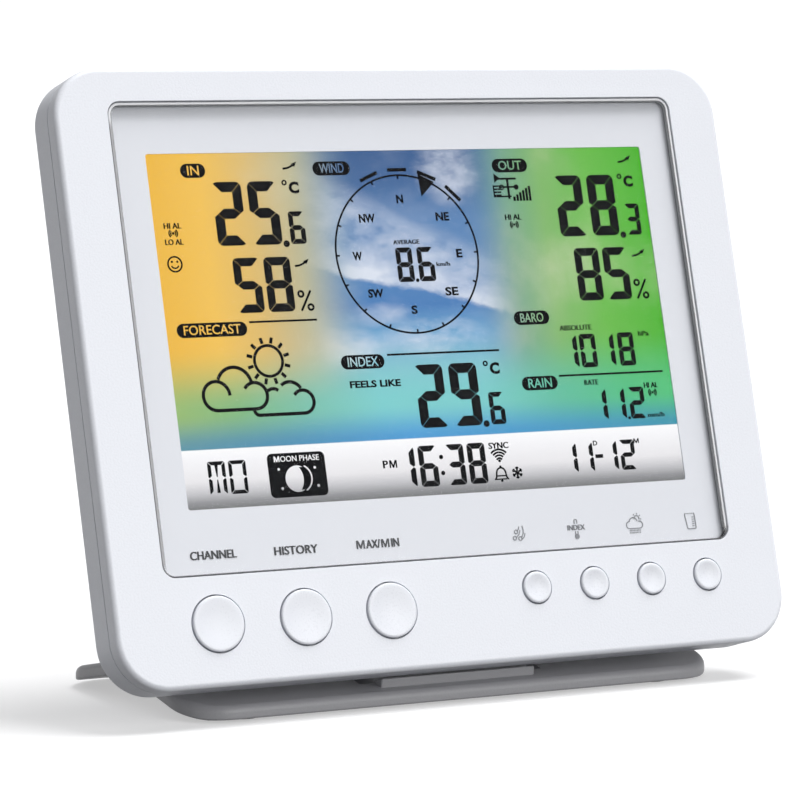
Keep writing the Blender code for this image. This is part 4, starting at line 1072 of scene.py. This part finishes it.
def gauge_symbol(m):
    """Graduated measuring cup."""
    m.stroke([(-1.35, 1.65), (-0.95, -1.5), (-0.75, -1.75), (1.15, -1.75), (1.35, -1.5), (1.25, 1.65)], LINE)
    for k in range(5):
        m.stroke([(0.55 * k - 1.3, 1.75), (0.55 * k - 1.0, 1.75)], LINE)
        m.stroke([(0.45, 0.9 - 0.5 * k), (1.0, 0.9 - 0.5 * k)], 0.18)


def printed_labels():
    """Key names on the left, small symbols on the right."""
    names = Marks(PRINT, (0.0, 0.0))
    for row in KEY_NAMES:
        names.heavy_words(*row, 1.85)
    names.piece("key_names", "grey_print", "display_border")
    icons = Marks(PRINT, (0.0, 0.0))
    wind_symbol(icons.at(17.3, 28.3))
    index_symbol(icons.at(32.2, 28.9))
    rain_symbol(icons.at(47.6, 28.8))
    gauge_symbol(icons.at(62.6, 28.6))
    icons.piece("key_symbols", "pale_print", "display_border")


# ---- stand ----
def plate_height(y):
    """Underside height of the arched plate at depth y behind the face's lower edge."""
    middle = (STAND_Y0 + STAND_Y1) / 2
    run = middle - STAND_Y0 - STAND_LIP
    away = abs(y - middle)
    slope, turn = tan(STAND_SLOPE), RIDGE_R * sin(STAND_SLOPE)
    if away >= run:
        return STAND_LIFT
    if away >= turn:
        return STAND_LIFT + (run - away) * slope
    sag = sqrt(RIDGE_R ** 2 - away ** 2) - sqrt(RIDGE_R ** 2 - turn ** 2)
    return STAND_LIFT + (run - turn) * slope + sag


def in_world(y, z):
    point = CONSOLE @ Vector((0.0, y * MM, z * MM))
    return (point.y / MM, point.z / MM)


def plate_ring(inset, rise):
    """Outline of the arched plate, drawn in by `inset` and `rise` above its underside."""
    half, near, far = STAND_W / 2 - inset, STAND_Y0 + inset, STAND_Y1 - inset
    r = STAND_R - inset
    side = [(half + x, near + y) for x, y in arc((-r, r), r, -90, 0, 10)]
    straight = STAND_Y1 - STAND_Y0 - 2 * STAND_R
    side += [(half, STAND_Y0 + STAND_R + straight * k / 24) for k in range(1, 24)]
    side += [(half + x, far + y) for x, y in arc((-r, -r), r, 0, 90, 10)]
    right = [(STAND_X + x, FACE_SETBACK + y, plate_height(y) + rise) for x, y in side]
    left = [(STAND_X - x, FACE_SETBACK + y, plate_height(y) + rise) for x, y in side]
    return right + left[::-1]


def plate_solid():
    """Arched plate with a small roll under its edge and a full one above."""
    rings = [plate_ring(inset, y) for inset, y in fillet(STAND_UNDER_EDGE, 4)]
    rings += [plate_ring(inset, STAND_T - y) for inset, y in reversed(fillet(STAND_EDGE, 8))]
    verts, faces = loft(rings)
    count, last = len(rings[0]), (len(rings) - 1) * len(rings[0])
    faces = faces[1:-1]
    for start in (0, last):
        for k in range(count // 2 - 1):
            faces.append([start + k, start + k + 1, start + count - 2 - k, start + count - 1 - k])
    return solid("stand_plate", verts, faces, WORLD)


def stand():
    plate = plate_solid()
    seat, shoulder = -0.4, HUMP_Z[0] - 0.6
    corners = [in_world(y, z) for y, z in ((9.0, seat), (RIM_Y + 0.4, seat), (RIM_Y + 0.4, shoulder),
                                           (22.0, shoulder))]
    for y in (corners[3][0] - 1.0, corners[0][0] + 0.2):
        corners.append((y, plate_height(y - FACE_SETBACK) + STAND_T / 2))
    body = side_prism("t_block", corners, BLOCK_W / 2)
    bevel(body, 0.5, 3)
    settle(body)
    boolean(plate, body, "UNION")
    nose = [in_world(y, z) for y, z in ((14.8, seat), (20.2, seat), (20.2, 15.4), (19.2, 16.4),
                                        (15.8, 16.4), (14.8, 15.4))]
    tongue = side_prism("t_tongue", nose, TONGUE_W / 2)
    bevel(tongue, 0.3, 2)
    settle(tongue)
    boolean(plate, tongue, "UNION")
    for side in (-1, 1):
        inner, outer = (STAND_X + side * (BLOCK_W / 2 + away) for away in (0.02, 3.6))
        near, far = (FACE_SETBACK + y for y in RELIEF_Y)
        loop = [(inner, near), (outer, near), (outer, far), (inner, far)]
        boolean(plate, upright("t_relief", loop, -5.0, 30.0))
    for x, y in FEET:
        boolean(plate, upright("t_foot", circle(FOOT_SEAT_R, (x, FACE_SETBACK + y), 40), -1.0, FOOT_SEAT_Z))
    present(plate, "stand", "stand_grey", ["stand_base"])


# ---- kept CAD nodes ----
ROUNDED = {"snooze_bar": 0.25, "battery_door": 0.25, "backlight_switch": 0.2, "backlight_tray": 0.2,
           "dc_jack": 0.2, "radio_module": 0.3, "climate_sensor": 0.3, "light_guide": 0.15}


def kept_nodes():
    """Give every CAD node that still shows its finish, and soften its edges."""
    slots = {part["node"]: part["material_slot"] for part in frame["record"]["subparts"]}
    for name, obj in frame["nodes"].items():
        if obj.hide_render:
            continue
        obj.data.materials.clear()
        obj.data.materials.append(LOOKS[slots[name]])
        weld = obj.modifiers.new("weld", "WELD")
        weld.merge_threshold = 1e-6
        width = 0.35 if name.startswith(("rear_key", "stand_foot")) else ROUNDED.get(name)
        if width:
            bevel(obj, width, 3, 50.0)
        smooth = obj.modifiers.new("normals", "WEIGHTED_NORMAL")
        smooth.keep_sharp = True


# ---- stage ----
def floor():
    half = 60000.0
    verts = [(-half, -half, 0.0), (half, -half, 0.0), (half, half, 0.0), (-half, half, 0.0)]
    ground = solid("floor", verts, [[0, 1, 2, 3]], WORLD)
    look = Look("floor_white")
    for name, value in (("Base Color", (0.60, 0.60, 0.605, 1.0)), ("Emission Color", (1.0, 1.0, 1.0, 1.0)),
                        ("Emission Strength", 0.45), ("Roughness", 0.9), ("Specular IOR Level", 0.1)):
        look.feed(name, value)
    ground.data.materials.append(look.mat)
    ground.visible_diffuse = False


def soft_sun(name, toward, strength, spread):
    """Distant soft light that comes from the direction `toward`."""
    data = bpy.data.lights.new(name, "SUN")
    data.energy = strength * pi
    data.angle = radians(spread)
    obj = bpy.data.objects.new(name, data)
    add_object(obj)
    obj.rotation_euler = (-Vector(toward)).to_track_quat("-Z", "Y").to_euler()


def lighting():
    world = bpy.data.worlds.new("studio")
    bpy.context.scene.world = world
    world.use_nodes = True
    t = Nodes(world.node_tree)
    toward = t.node("ShaderNodeTexCoord").outputs["Generated"]
    height = t.node("ShaderNodeSeparateXYZ", {0: toward}).outputs[2]
    level = t.node("ShaderNodeMapRange", {0: height, 1: -1.0, 2: 1.0}).outputs[0]
    below, above, horizon = (0.07, 0.07, 0.075, 1.0), (0.37, 0.37, 0.375, 1.0), (1.05, 1.05, 1.05, 1.0)
    sky = t.ramp(level, ((0.455, below), (0.48, horizon), (0.525, horizon), (0.56, above)))
    t.plug(world.node_tree.nodes["Background"].inputs["Color"], sky)
    soft_sun("overhead", (0.35, -0.10, 0.93), 0.80, 32.0)
    soft_sun("front", (0.30, -0.90, 0.30), 0.42, 40.0)


def camera():
    data = bpy.data.cameras.new("camera")
    data.sensor_width = 36.0
    data.lens = 183.8
    data.clip_end = 100.0
    obj = bpy.data.objects.new("camera", data)
    add_object(obj)
    obj.location = (-0.4380, -0.7917, 0.1451)
    obj.rotation_euler = Vector((0.4831, 0.8712, -0.0877)).to_track_quat("-Z", "Y").to_euler()
    bpy.context.scene.camera = obj


for make in (front_case, rear_case, front_buttons, window_and_glass, display_marks, printed_labels, stand,
             kept_nodes, floor, lighting, camera):
    make()
bpy.context.scene.view_settings.view_transform = "Standard"
